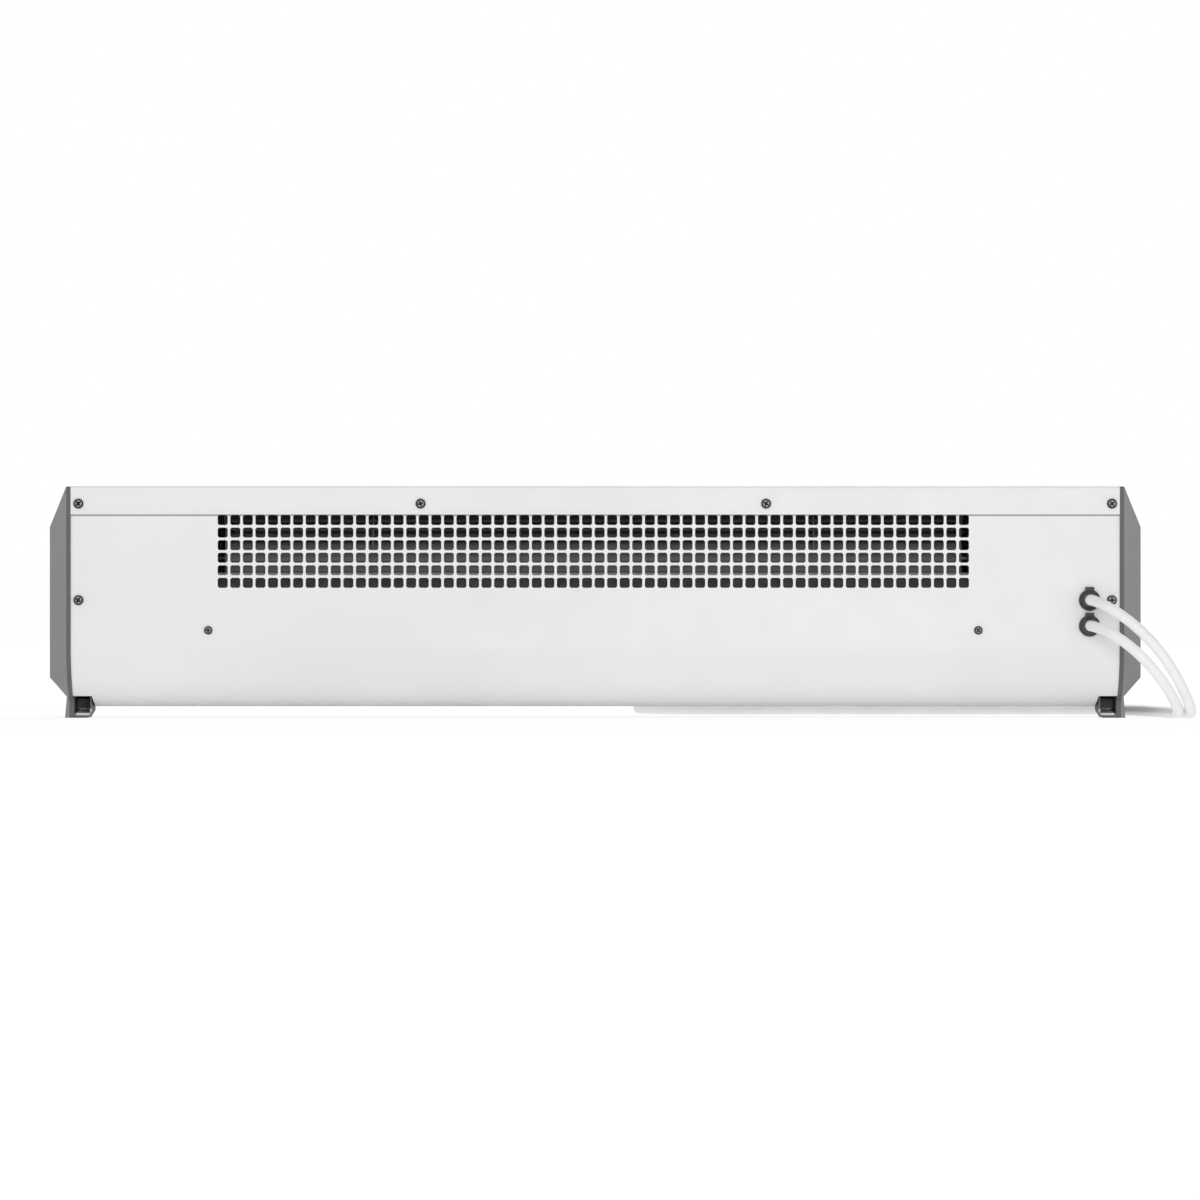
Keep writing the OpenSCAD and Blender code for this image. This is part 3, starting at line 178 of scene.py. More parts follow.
def powder_coated_steel(name, lip_shade_z=None):
    """White polyester powder on steel sheet: satin, with a faint orange peel that softens its
    reflections. The peel is about 1.5 mm wide on the real sheet, and 4 mm here, so that it shows.
    A panel that goes up under a lip has a grey line painted where the two meet: painted shade,
    where the lip's shadow falls on the panel."""
    material, tree, place = new_finish(name)
    cloud = add(tree, NOISE, {"Vector": place, "Scale": 1000 / 160})
    colour = tinted(tree, cloud, *CLEAR, "#EBEBEA", "#F0F0EF")
    # Painted shade: a grey band just under the lip's edge
    if lip_shade_z:
        up = add(tree, APART, (place,)).outputs[2]
        colour = tinted(tree, up, lip_shade_z - 1.7 * MM, lip_shade_z - 0.7 * MM, colour, "#8B8B8A")
    patch = add(tree, NOISE, {"Vector": place, "Scale": 1000 / 25})
    gloss = add(tree, RANGE, (patch, *WIDE, 0.36, 0.46))
    peel = add(tree, NOISE, {"Vector": place, "Scale": 1000 / 4, "Detail": 1.0})
    return finished(material, colour, gloss, peel, depth_mm=0.05, strength=0.5, IOR=1.5)


def textured_abs():
    """Grey ABS, moulded with a spark-eroded grain: matt, a shade darker on the flat rim that meets
    the steel, and with a painted highlight, pale, on the low lips of its feet. The grain is 0.3 mm
    wide on the real caps, and 0.9 mm here, so that it shows."""
    material, tree, place = new_finish("textured_abs")
    apart = add(tree, APART, (place,)).outputs
    out = add(tree, MATH, (apart[0],), operation="ABSOLUTE")
    grain = add(tree, NOISE, {"Vector": place, "Scale": 1000 / 0.9, "Detail": 3.0})
    body = tinted(tree, grain, *WIDE, "#828384", "#8E8F90")
    colour = tinted(tree, out, CAP_RIM_X - 0.2 * MM, CAP_RIM_X + 0.2 * MM, "#5C5D5E", body)
    facing = add(tree, APART, (add(tree, COORDINATES).outputs["Normal"],)).outputs
    # Painted highlight: pale on the low lips of the feet, on faces that look up or towards the
    # intake side, where a glossy rounded edge catches the light
    upward = add(tree, RANGE, (facing[2], 0.5, 0.9, 0, 1))
    lip = add(tree, RANGE, (facing[1], -0.7, -0.95, upward, 1))
    lip = add(tree, RANGE, (out, LIP_HIGHLIGHT_X + 0.5 * MM, LIP_HIGHLIGHT_X - 0.5 * MM, 0, lip))
    lip = add(tree, RANGE, (apart[2], LIP_HIGHLIGHT_LOW_Z - 0.3 * MM, LIP_HIGHLIGHT_LOW_Z + 0.3 * MM, 0, lip))
    colour = tinted(tree, apart[2], LIP_HIGHLIGHT_HIGH_Z + 0.5 * MM, LIP_HIGHLIGHT_HIGH_Z - 0.5 * MM, colour,
                    "#D9DADB", most=lip)
    gloss = add(tree, RANGE, (grain, *WIDE, 0.5, 0.66))
    return finished(material, colour, gloss, grain, depth_mm=0.06, strength=0.7, IOR=1.53)


def galvanised_steel():
    """Hot-dip galvanised sheet: zinc crystals about 9 mm wide, each of its own grey and gloss."""
    material, tree, place = new_finish("galvanised_steel")
    crystal = add(tree, "ShaderNodeTexVoronoi", {"Vector": place, "Scale": 1000 / 9})
    tone = add(tree, "ShaderNodeSeparateColor", (crystal.outputs["Color"],)).outputs
    colour = tinted(tree, tone[0], 0, 1, "#9A9FA3", "#C4C8CB")
    gloss = add(tree, RANGE, (tone[1], 0, 1, 0.32, 0.52))
    frost = add(tree, NOISE, {"Vector": place, "Scale": 1000 / 1.5})
    return finished(material, colour, gloss, frost, depth_mm=0.03, Metallic=1.0)


def dark_guide_painted_highlight():
    """Galvanised steel behind the grille, in a dark grey, with a painted highlight: a bright band
    along its top edge, where the edge catches the light."""
    material, tree, place = new_finish("dusty_galvanised_steel")
    up = add(tree, APART, (place,)).outputs[2]
    # Painted highlight: a bright band over the top 2.4 mm of the guide
    edge_highlight = add(tree, RANGE, (up, NOSE_Z - 3.6 * MM, NOSE_Z - 2.4 * MM, 0, 1))
    film = add(tree, NOISE, {"Vector": place, "Scale": 1000 / 7})
    # A dark grey tone all over, with a faint noise in it
    dust = tinted(tree, film, *CLEAR, "#4B4D4F", "#5C5E60")
    colour = tinted(tree, edge_highlight, 0, 1, dust, "#E4E6E7")
    gloss = add(tree, RANGE, (edge_highlight, 0, 1, 0.8, 0.4))
    grit = add(tree, NOISE, {"Vector": place, "Scale": 1000 / 2})
    return finished(material, colour, gloss, grit, depth_mm=0.04, Metallic=0.6)


def screw_zinc_painted_reflection():
    """Zinc-plated screws with a painted reflection: the flat of the head, which faces the intake
    side, is painted a soft grey as if it mirrored the white surroundings, and its flank and recess
    are painted dark as if they mirrored dark surroundings."""
    material, tree, place = new_finish("dulled_zinc_screw")
    facing = add(tree, APART, (add(tree, COORDINATES).outputs["Normal"],)).outputs[1]
    facing = add(tree, RANGE, (facing, -0.85, -0.97, 0, 1))
    out = add(tree, APART, (place,)).outputs[1]
    edge = intake_y - HEAD_FLAT
    # Painted reflection: grey on the flat of the head that faces the intake side, dark elsewhere
    flat = add(tree, RANGE, (out, edge + 0.1 * MM, edge - 0.1 * MM, 0, facing))
    smear = add(tree, NOISE, {"Vector": place, "Scale": 1000 / 1.2})
    reflected_grey = tinted(tree, smear, *CLEAR, "#5C5E60", "#808284")
    colour = tinted(tree, flat, 0, 1, "#2A2B2C", reflected_grey)
    gloss = add(tree, RANGE, (flat, 0, 1, 0.6, 0.38))
    pits = add(tree, NOISE, {"Vector": place, "Scale": 1000 / 0.6})
    return finished(material, colour, gloss, pits, depth_mm=0.02, Metallic=0.8)


def metal(name, dark, light, rough, grain_mm, depth_mm=0.02):
    """A bare or plated metal whose tone and gloss wander a little with its grain."""
    material, tree, place = new_finish(name)
    grain = add(tree, NOISE, {"Vector": place, "Scale": 1000 / grain_mm, "Detail": 3.0})
    colour = tinted(tree, grain, *WIDE, dark, light)
    gloss = add(tree, RANGE, (grain, *WIDE, rough * 0.7, rough))
    return finished(material, colour, gloss, grain, depth_mm, Metallic=1.0)


def brushed_metal(name, dark, light, rough, bare=1.0):
    """Metal turned or drawn along X, with fine lines that run along it. They are under 0.1 mm wide
    on the real metal, and 0.8 mm here, so that they show. Under dust, less than 1 is bare."""
    material, tree, place = new_finish(name)
    drawn = add(tree, "ShaderNodeMapping", {"Vector": place, "Scale": (0.02, 1, 1)})
    line = add(tree, NOISE, {"Vector": drawn, "Scale": 1000 / 0.8})
    colour = tinted(tree, line, *WIDE, dark, light)
    gloss = add(tree, RANGE, (line, *WIDE, rough * 0.7, rough))
    return finished(material, colour, gloss, line, depth_mm=0.02, Metallic=bare)


def laminated_steel():
    """Motor laminations: sheets stacked along X under brown-black varnish. They are 0.5 mm thick
    in the real motor. The bands here are 5.7 mm wide, for a bundle of them, so that they show."""
    material, tree, place = new_finish("varnished_laminations")
    stack = add(tree, "ShaderNodeTexWave", {
        "Vector": place, "Scale": WAVE_MM / 5.655, "Distortion": 0.4},
        bands_direction="X").outputs[1]
    colour = tinted(tree, stack, 0, 1, "#2E2A28", "#5A5653")
    gloss = add(tree, RANGE, (stack, 0, 1, 0.35, 0.55))
    return finished(material, colour, gloss, stack, depth_mm=0.15, strength=0.6, Metallic=0.7)


def enamelled_winding():
    """Enamelled copper wire, wound round the limb in level turns, with a wet gloss. It is 0.6 mm
    thick in the real motor. The turns here are 3.8 mm wide, so that they show."""
    material, tree, place = new_finish("enamelled_winding")
    turns = add(tree, "ShaderNodeTexWave", {
        "Vector": place, "Scale": WAVE_MM / 3.77, "Distortion": 0.6},
        bands_direction="Y").outputs[1]
    colour = tinted(tree, turns, 0, 1, "#5A2C12", "#C27A3C")
    gloss = add(tree, RANGE, (turns, 0, 1, 0.5, 0.3))
    return finished(material, colour, gloss, turns, depth_mm=0.25, strength=0.8, coat=0.4,
                    Metallic=0.6)


def moulded(name, dark, light, rough, grain_mm=1.2, depth_mm=0.03, coat=0.0):
    """A moulded plastic, rubber or ceramic: one even colour, and the mould's faint grain in its
    gloss."""
    material, tree, place = new_finish(name)
    grain = add(tree, NOISE, {"Vector": place, "Scale": 1000 / grain_mm})
    cloud = add(tree, NOISE, {"Vector": place, "Scale": 1000 / 18})
    colour = tinted(tree, cloud, *WIDE, dark, light)
    gloss = add(tree, RANGE, (grain, *WIDE, rough * 0.85, rough * 1.15))
    return finished(material, colour, gloss, grain, depth_mm, strength=0.5, coat=coat,
                    IOR=1.5)


# Each metal or moulding has its two tones, its roughness, and its grain's width and depth in mm
FINISHES = {
    "white_powder_coat": powder_coated_steel("powder_coated_steel"),
    "grey_abs": textured_abs(),
    "galvanised_steel": galvanised_steel(),
    # Mill-finish aluminium strip, dulled by dust
    "rotor_aluminium": brushed_metal("mill_finish_aluminium", "#606365", "#777A7D", 0.75, 0.1),
    # Centreless-ground steel bar, grey with a soft gleam
    "ground_steel": brushed_metal("ground_steel", "#7A7D7F", "#9A9D9F", 0.42),
    "lamination_steel": laminated_steel(),
    "winding": enamelled_winding(),
    # Zinc-aluminium die casting, grainy and dull
    "die_cast": metal("die_cast_zinc_alloy", "#8C8F91", "#ABAEB0", 0.6, 1.5, 0.08),
    # Sintered bronze, with open pores and oil in them
    "sintered_bronze": metal("sintered_bronze", "#7A5A32", "#A9834F", 0.55, 0.5, 0.05),
    # Nitrile rubber, dull black
    "black_rubber": moulded("nitrile_rubber", "#1C1C1D", "#252526", 0.7),
    # Stainless heater sheath, browned by heat in patches
    "heater_steel": metal("heat_tinted_stainless", "#57504A", "#84807B", 0.45, 9),
    # Steatite, an unglazed ceramic: creamy and chalky
    "steatite": moulded("steatite", "#DCD5C4", "#E9E3D4", 0.75, 0.5, 0.05),
    # Phenolic, hard and dark, with an even gloss
    "phenolic": moulded("phenolic", "#232122", "#2E2C2C", 0.4),
    # Bright zinc plate over steel: cool grey with a soft gloss
    "zinc_plate": metal("bright_zinc_plate", "#A9ACAE", "#CDD0D1", 0.34, 0.8),
    # Lacquered aluminium extrusion: off-white, smooth, satin
    "vane_lacquer": moulded("lacquered_aluminium", "#DEDEDD", "#E6E6E5", 0.38, 3, 0.02),
    # Natural nylon, a milky off-white
    "natural_nylon": moulded("natural_nylon", "#E6E4DA", "#EFEDE4", 0.45),
    # Cream polyamide, as on terminal strips, softly glossy
    "cream_polyamide": moulded("cream_polyamide", "#E6DFCB", "#EFE9D8", 0.4),
    # Green solder mask over glass-fibre laminate, with a thin clear gloss
    "circuit_board": moulded("solder_mask", "#1E5A38", "#2A6B45", 0.35, 2, 0.05, coat=0.3),
    # Drawn brass, a little tarnished
    "brass_stud": metal("drawn_brass", "#A58744", "#CBB067", 0.4, 1.0),
    # Black glass-fibre sleeve over the loom, dull and rough
    "loom_sleeve": moulded("glass_fibre_sleeve", "#222224", "#333335", 0.8, 0.8, 0.12),
    # White plasticised PVC, softly glossy
    "white_pvc": moulded("plasticised_pvc", "#F5F5F4", "#FAFAF9", 0.4, 2.5, 0.03),
    # Glass-filled nylon, dense black with a dry sheen
    "black_nylon": moulded("glass_filled_nylon", "#29292A", "#343435", 0.48, 1.0, 0.05),
    # Thermoplastic rubber moulded over the plug: white, a little dull
    "white_rubber": moulded("thermoplastic_rubber", "#EAEAE8", "#F1F1EF", 0.55, 1.5, 0.04),
    # Nickel plate over brass pins, warm and bright
    "nickel_plate": metal("nickel_plate", "#B4B0A8", "#D2CFC8", 0.24, 0.8),
    # Urea moulding, hard, white and glossy
    "white_urea": moulded("urea_moulding", "#F0F0EE", "#F5F5F3", 0.22, 3, 0.015),
    # Black polycarbonate of the switch frames, smooth and glossy
    "switch_black": moulded("black_polycarbonate", "#202021", "#2A2A2B", 0.35),
    # Grey polycarbonate of the rockers and the knob, smooth and glossy
    "control_grey": moulded("grey_polycarbonate", "#C9CBCB", "#D3D5D5", 0.33, 1.0, 0.02),
}
# Pad-printed marks on the control: a flat, dark grey ink
PRINT_INK = moulded("printing_ink", "#3A3C3E", "#45474A", 0.5)
SCREW_ZINC_PAINTED_REFLECTION = screw_zinc_painted_reflection()

slot_of = {part["node"]: part["material_slot"] for part in frame["record"]["subparts"]}
# The rear and front panels carry the painted shade under the top panel's lip
panel_finish_with_lip_shade = powder_coated_steel("powder_coated_steel_under_a_lip", LIP_EDGE_Z)
# Zinc plate that dust has dulled, on the motor's screws behind the first holes of the grille
dusty_zinc = metal("dusty_zinc_plate", "#4E5051", "#666869", 0.75, 0.8)
NODE_FINISHES = {"tongue": dark_guide_painted_highlight(), "rear_panel": panel_finish_with_lip_shade,
                 "front_panel": panel_finish_with_lip_shade, "motor_screws": dusty_zinc}


def finish_on(node):
    return NODE_FINISHES.get(node, FINISHES[slot_of[node]])


for node_name, node in frame["nodes"].items():
    for place in node.material_slots:
        place.material = finish_on(node_name)


# --- Making and joining pieces ---

def shown(name, data, body, slot, material=None):
    """A new piece that rides on a body and takes its finish from a slot."""
    piece = linked(name, data)
    if not data.materials:
        data.materials.append(material or FINISHES[slot])
    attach(piece, body)
    return piece


def baked(piece):
    """The piece with its modifiers made into a plain mesh."""
    bpy.context.view_layer.update()
    depsgraph = bpy.context.evaluated_depsgraph_get()
    mesh = bpy.data.meshes.new_from_object(piece.evaluated_get(depsgraph))
    mesh.name = piece.name
    bpy.data.objects.remove(piece)
    return mesh


# Faces that meet at less than CORNER, and at more than BEND, belong to one bend where they are
# narrower than STRIP_MM. An edge that turns by CREASE or more shows as an edge.
BEND = math.radians(0.5)
CORNER = math.radians(28)
CREASE = math.radians(35)
STRIP_MM = 12.0


def with_shading(mesh, rounding_mm=1.0):
    """Bends and rounded edges shade smoothly, and flat sheets stay flat."""
    form = bmesh.new()
    form.from_mesh(mesh)
    for edge in form.edges:
        edge.smooth = not edge.is_manifold or edge.calc_face_angle(0) < CREASE
    for face in form.faces:
        width = 2 * face.calc_area() / max(face.calc_perimeter(), 1e-9)
        bent = any(e.is_manifold and BEND < e.calc_face_angle(0) < CORNER for e in face.edges)
        face.smooth = width < 1.3 * rounding_mm * MM or (bent and width < STRIP_MM * MM)
    form.to_mesh(mesh)
    form.free()
    return mesh


def eased(mesh):
    """Where a bend or a rounding meets a flat face, its shading starts from the flat face's,
    without a step."""
    normals = [corner.vector.copy() for corner in mesh.corner_normals]
    flats = {}
    for face in mesh.polygons:
        if not face.use_smooth:
            for corner in face.vertices:
                flats.setdefault(corner, []).append(face.normal.copy())
    for face in mesh.polygons:
        for corner, vertex in zip(face.loop_indices, face.vertices):
            near = [flat for flat in flats.get(vertex, ()) if flat.angle(face.normal, 9) < CORNER]
            if face.use_smooth and near:
                normals[corner] = near[0]
    mesh.normals_split_custom_set(normals)
    return mesh


def softened(node, radius_mm, body, shortest_mm):
    """A copy of a solid whose long sharp edges are rounded, shown in its place."""
    mesh = frame["nodes"][node].data.copy()
    form = bmesh.new()
    form.from_mesh(mesh)
    bmesh.ops.remove_doubles(form, verts=form.verts, dist=1e-6)
    bmesh.ops.dissolve_limit(form, angle_limit=math.radians(0.4), verts=form.verts,
                             edges=form.edges)
    weight = form.edges.layers.float.new("bevel_weight_edge")
    for edge in form.edges:
        sharp = edge.is_manifold and edge.calc_face_angle(0) > CORNER
        edge[weight] = float(sharp and edge.calc_length() > shortest_mm * MM)
    form.to_mesh(mesh)
    form.free()
    mesh.materials.clear()
    mesh.materials.append(finish_on(node))
    draft = linked(node + "_edges", mesh)
    edge = draft.modifiers.new("edge", "BEVEL")
    edge.width = radius_mm * MM
    edge.segments = 3
    edge.limit_method = "WEIGHT"
    rounded = eased(with_shading(baked(draft), radius_mm))
    piece = shown(node + "_shell", rounded, body, slot_of[node])
    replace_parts(piece, node)
    return piece


def made_mesh(form, name):
    """A bmesh as a mesh, with its faces turned outwards and its shading set."""
    bmesh.ops.recalc_face_normals(form, faces=form.faces)
    mesh = bpy.data.meshes.new(name)
    form.to_mesh(mesh)
    form.free()
    return with_shading(mesh)


def placed_on(along, far, u, v, at):
    """A place that is far along an axis and (u, v) across it, moved by at: from mm to metres."""
    place = {"X": (far, u, v), "Y": (v, far, u), "Z": (u, v, far)}[along]
    return [(p + q) * MM for p, q in zip(place, at)]


def turned(name, profile, sides=40, along="X", at=(0, 0, 0), loop=False):
    """A lathe-turned form in mm. profile is (radius, place along the axis) from one end to the
    other. A loop comes back to its start, and so has a bore."""
    form = bmesh.new()
    rings = []
    for radius, far in profile:
        angles = [math.tau * i / sides for i in range(sides if radius > 1e-6 else 1)]
        rings.append([form.verts.new(placed_on(along, far, radius * math.cos(a),
                                               radius * math.sin(a), at)) for a in angles])
    for low, high in zip(rings, rings[1:] + rings[:loop]):
        for i in range(sides):
            corners = [low[i % len(low)], low[(i + 1) % sides % len(low)],
                       high[(i + 1) % sides % len(high)], high[i % len(high)]]
            form.faces.new(list(dict.fromkeys(corners)))
    return made_mesh(form, name)


def prism(name, outline, low, high, along="X", taper=1.0, at=(0, 0, 0)):
    """An outline in mm pushed from low to high along an axis. Its far end is scaled by taper."""
    form = bmesh.new()
    ends = [[form.verts.new(placed_on(along, far, u * scale, v * scale, at)) for u, v in outline]
            for far, scale in ((low, 1.0), (high, taper))]
    form.faces.new(ends[0])
    form.faces.new(ends[1])
    for i in range(len(outline)):
        j = (i + 1) % len(outline)
        form.faces.new([ends[0][i], ends[0][j], ends[1][j], ends[1][i]])
    return made_mesh(form, name)


def cut(mesh, tool):
    """The mesh less the space of the tool."""
    body, knife = linked("cut_body", mesh), linked("cut_tool", tool)
    away = body.modifiers.new("away", "BOOLEAN")
    away.object = knife
    away.solver = "EXACT"
    left = baked(body)
    bpy.data.objects.remove(knife)
    return with_shading(left)


def figure(text, size_mm, turn):
    """A printed figure as a thin mesh at the origin, turned by a matrix."""
    letters = bpy.data.curves.new("figure", "FONT")
    letters.body = text
    letters.size = size_mm * MM
    letters.extrude = 0.03 * MM
    letters.resolution_u = 3
    letters.align_x = letters.align_y = "CENTER"
    mesh = baked(linked("figure", letters))
    mesh.transform(turn)
    return mesh


def joined(name, meshes):
    form = bmesh.new()
    for mesh in meshes:
        form.from_mesh(mesh)
    mesh = bpy.data.meshes.new(name)
    form.to_mesh(mesh)
    form.free()
    return mesh


def middle(node):
    """The middle of a node's box, in mm."""
    low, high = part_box(node)
    return (low + high) / 2 / MM


def corners_mm(node):
    """The lowest and the highest corner of a node's box, in mm."""
    return [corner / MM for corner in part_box(node)]


# --- Geometry Nodes: shapes in rows, in rings and on points ---

def new_tree(name, **inputs):
    """A Geometry Nodes tree with named inputs, the last for its finish, and their sockets."""
    tree = bpy.data.node_groups.new(name, "GeometryNodeTree")
    for label, kind in {**inputs, "Finish": "Material"}.items():
        tree.interface.new_socket(label.replace("_", " "), in_out="INPUT",
                                  socket_type="NodeSocket" + kind)
    tree.interface.new_socket("Geometry", in_out="OUTPUT", socket_type="NodeSocketGeometry")
    return tree, add(tree, "NodeGroupInput").outputs


def end_tree(tree, given, parts):
    """Joins the parts, makes their instances real and gives them their finish."""
    join = add(tree, "GeometryNodeJoinGeometry")
    for part in parts:
        tree.links.new(part, join.inputs[0])
    real = add(tree, "GeometryNodeRealizeInstances", (join,))
    coated = add(tree, "GeometryNodeSetMaterial", {"Geometry": real, "Material": given["Finish"]})
    add(tree, "NodeGroupOutput", (coated,))
    return tree


def placed(tree, points, shape, turn=(0, 0, 0)):
    """Instances of the shape that an Object input names, on points."""
    form = add(tree, "GeometryNodeObjectInfo", {"Object": shape}).outputs["Geometry"]
    return add(tree, "GeometryNodeInstanceOnPoints", {
        "Points": points, "Instance": form, "Rotation": turn}).outputs[0]


def row_tree():
    """Copies of a shape at equal steps along a line, with what is fixed between them."""
    tree, given = new_tree("row", Fixed="Geometry", Shape="Object", Count="Int", Start="Vector",
                           Step="Vector")
    line = add(tree, "GeometryNodeMeshLine", {
        "Count": given["Count"], "Start Location": given["Start"], "Offset": given["Step"]})
    return end_tree(tree, given, [given["Fixed"], placed(tree, line, given["Shape"])])


def ring_points(tree, given, axis):
    """Points at the centre of a ring, and the angle that each copy turns by about the axis."""
    points = add(tree, "GeometryNodePoints", {"Count": given["Count"], "Position": given["Centre"]})
    index = add(tree, "GeometryNodeInputIndex")
    angle = add(tree, MATH, (index, given["Step Angle"]), operation="MULTIPLY")
    return points, add(tree, "ShaderNodeCombineXYZ", {axis: angle})


def ring_tree():
    """Copies of a shape turned by equal angles about an upright axis, and what is fixed there."""
    tree, given = new_tree("ring", Fixed="Geometry", Shape="Object", Count="Int", Centre="Vector",
                           Step_Angle="Float")
    points, turn = ring_points(tree, given, "Z")
    return end_tree(tree, given, [given["Fixed"], placed(tree, points, given["Shape"], turn)])


def rotor_tree():
    """A cross-flow rotor: leaves round the X axis, and discs that hold them at equal distances."""
    tree, given = new_tree("cross_flow_rotor", Ends="Geometry", Leaf="Object", Disc="Object",
                           Count="Int", Centre="Vector", Step_Angle="Float", Discs="Int",
                           First_Disc="Vector", Disc_Step="Vector")
    points, turn = ring_points(tree, given, "X")
    line = add(tree, "GeometryNodeMeshLine", {
        "Count": given["Discs"], "Start Location": given["First Disc"],
        "Offset": given["Disc Step"]})
    leaves, discs = placed(tree, points, given["Leaf"], turn), placed(tree, line, given["Disc"])
    return end_tree(tree, given, [given["Ends"], leaves, discs])


def screw_tree():
    """A screw on each point, turned about Y by a seeded angle, as each stops where it bites."""
    tree, given = new_tree("screwed_in", Places="Geometry", Screw="Object", Seed="Int")
    angle = add(tree, "FunctionNodeRandomValue", {2: 0.0, 3: math.tau, "Seed": given["Seed"]},
                data_type="FLOAT").outputs[1]
    turn = add(tree, "ShaderNodeCombineXYZ", {"Y": angle})
    return end_tree(tree, given, [placed(tree, given["Places"], given["Screw"], turn)])


def spiral_fin_tree():
    """A tube that lies along X, and the steel ribbon that is wound round it on edge."""
    tree, given = new_tree("spiral_fin", Tube="Geometry", Start="Vector", Length="Float",
                           Turns="Float", Middle_Radius="Float", Fin_Height="Float",
                           Fin_Thickness="Float")
    helix = add(tree, "GeometryNodeCurveSpiral", {
        "Resolution": 18, "Rotations": given["Turns"], "Start Radius": given["Middle Radius"],
        "End Radius": given["Middle Radius"], "Height": given["Length"]})
    upright = add(tree, "GeometryNodeSetCurveNormal", (helix,), mode="Z_UP")
    ribbon = add(tree, "GeometryNodeCurvePrimitiveQuadrilateral", {
        "Width": given["Fin Height"], "Height": given["Fin Thickness"]})
    fin = add(tree, "GeometryNodeCurveToMesh", {0: upright, 1: ribbon, "Fill Caps": True})
    laid = add(tree, "GeometryNodeTransform", {
        "Geometry": fin, "Translation": given["Start"],
        "Rotation": (0, math.radians(90), 0)}).outputs[0]
    return end_tree(tree, given, [given["Tube"], laid])


def grown(name, tree, slot, body="root", fixed=None, material=None, shapes=(), **sizes):
    """A piece that a tree makes. Its inputs are set by identifier, and it ends as a plain mesh."""
    holder = linked(name + "_draft", fixed or bpy.data.meshes.new(name))
    helpers = {label: linked(name + "_" + label, mesh) for label, mesh in dict(shapes).items()}
    given = {"Finish": material or FINISHES[slot], **helpers, **sizes}
    made = holder.modifiers.new("made", "NODES")
    made.node_group = tree
    for item in tree.interface.items_tree:
        key = item.name.replace(" ", "_")
        if item.in_out == "INPUT" and key in given:
            made[item.identifier] = given[key]
    mesh = baked(holder)
    for helper in helpers.values():
        bpy.data.objects.remove(helper)
    return shown(name, with_shading(mesh), body, slot)


ROW, RING, ROTOR = row_tree(), ring_tree(), rotor_tree()
SCREWS, SPIRAL_FIN = screw_tree(), spiral_fin_tree()


# --- Leads: the free stretch's points, then a two-layer coil ---

LEAD_D = 8.6 * MM
FLOOR_Z = 4.4 * MM
COIL_IN_R = 35.6 * MM
COIL_PITCH = 10.6 * MM
COIL_CLIMB = 9.2 * MM
COIL_TURNS = 4.5
COIL_STEPS = 24
TURN_BACK = 0.5
LAYER_TURNS = (COIL_TURNS - TURN_BACK) / 2
COIL_OUT_R = COIL_IN_R + COIL_PITCH * LAYER_TURNS
COIL_TOP_Z = FLOOR_Z + COIL_CLIMB
PLUG_RUN = 52 * MM
PLUG_Z = 19.3 * MM
CONTROL_RUN = 62 * MM

# Each lead goes through the air to the ground, and over it to its coil
MAINS_ROUTE = [
    (0.3935, -0.0835, 0.0942), (0.3935, -0.094, 0.0942), (0.3962, -0.1072, 0.093),
    (0.403, -0.1188, 0.0896), (0.4126, -0.1268, 0.0835), (0.4234, -0.131, 0.0752),
    (0.4336, -0.1328, 0.0657), (0.4429, -0.1332, 0.0553), (0.4512, -0.1324, 0.0439),
    (0.4583, -0.1296, 0.0324), (0.4642, -0.1234, 0.0218), (0.4688, -0.1132, 0.0132),
    (0.4716, -0.1, 0.0075), (0.4728, -0.0855, 0.0049)]
MAINS_ROUTE += [(x, y, FLOOR_Z) for x, y in (
    (0.4724, -0.07), (0.47, -0.053), (0.4664, -0.0365), (0.462, -0.02), (0.4576, -0.0035),
    (0.4536, 0.013), (0.4496, 0.031), (0.4455, 0.05), (0.441, 0.07), (0.436, 0.088),
    (0.426, 0.103), (0.41, 0.1125), (0.39, 0.115), (0.37, 0.115), (0.35, 0.115))]
CONTROL_ROUTE = [
    (0.3935, -0.0835, 0.0737), (0.3935, -0.0935, 0.0737), (0.3961, -0.1067, 0.0728),
    (0.4026, -0.1182, 0.07), (0.4118, -0.1262, 0.0645), (0.422, -0.1308, 0.0569),
    (0.4318, -0.1328, 0.0478), (0.4408, -0.1328, 0.0377), (0.4486, -0.1302, 0.0274),
    (0.4548, -0.124, 0.018), (0.4592, -0.114, 0.0108), (0.4615, -0.101, 0.0065),
    (0.462, -0.086, 0.0046)]
CONTROL_ROUTE += [(x, y, FLOOR_Z) for x, y in (
    (0.4606, -0.07), (0.4576, -0.053), (0.4538, -0.036), (0.4496, -0.019), (0.4454, -0.002),
    (0.4416, 0.015), (0.438, 0.032), (0.4342, 0.05), (0.4294, 0.069), (0.421, 0.0855),
    (0.406, 0.096))]
CONTROL_ROUTE += [(0.388 - 0.022 * i, 0.099, FLOOR_Z) for i in range(12)]
MAINS_COIL = Vector((0.31, MAINS_ROUTE[-1][1] + COIL_OUT_R))
CONTROL_COIL = Vector((0.09, CONTROL_ROUTE[-1][1] + COIL_OUT_R))


def coil_points(centre):
    """In on the lower layer, up in the half turn where it turns back, and out on the upper one."""
    points = [(centre.x + LEAD_D, centre.y - COIL_OUT_R, FLOOR_Z)]
    for i in range(int(COIL_STEPS * COIL_TURNS) + 1):
        turn = i / COIL_STEPS
        past = turn - LAYER_TURNS
        radius = COIL_IN_R + COIL_PITCH * max(-past, 0, past - TURN_BACK)
        height = FLOOR_Z + COIL_CLIMB * min(max(past / TURN_BACK, 0), 1)
        angle = -math.pi / 2 - math.tau * turn
        points.append((centre.x + radius * math.cos(angle), centre.y + radius * math.sin(angle),
                       height))
    return points


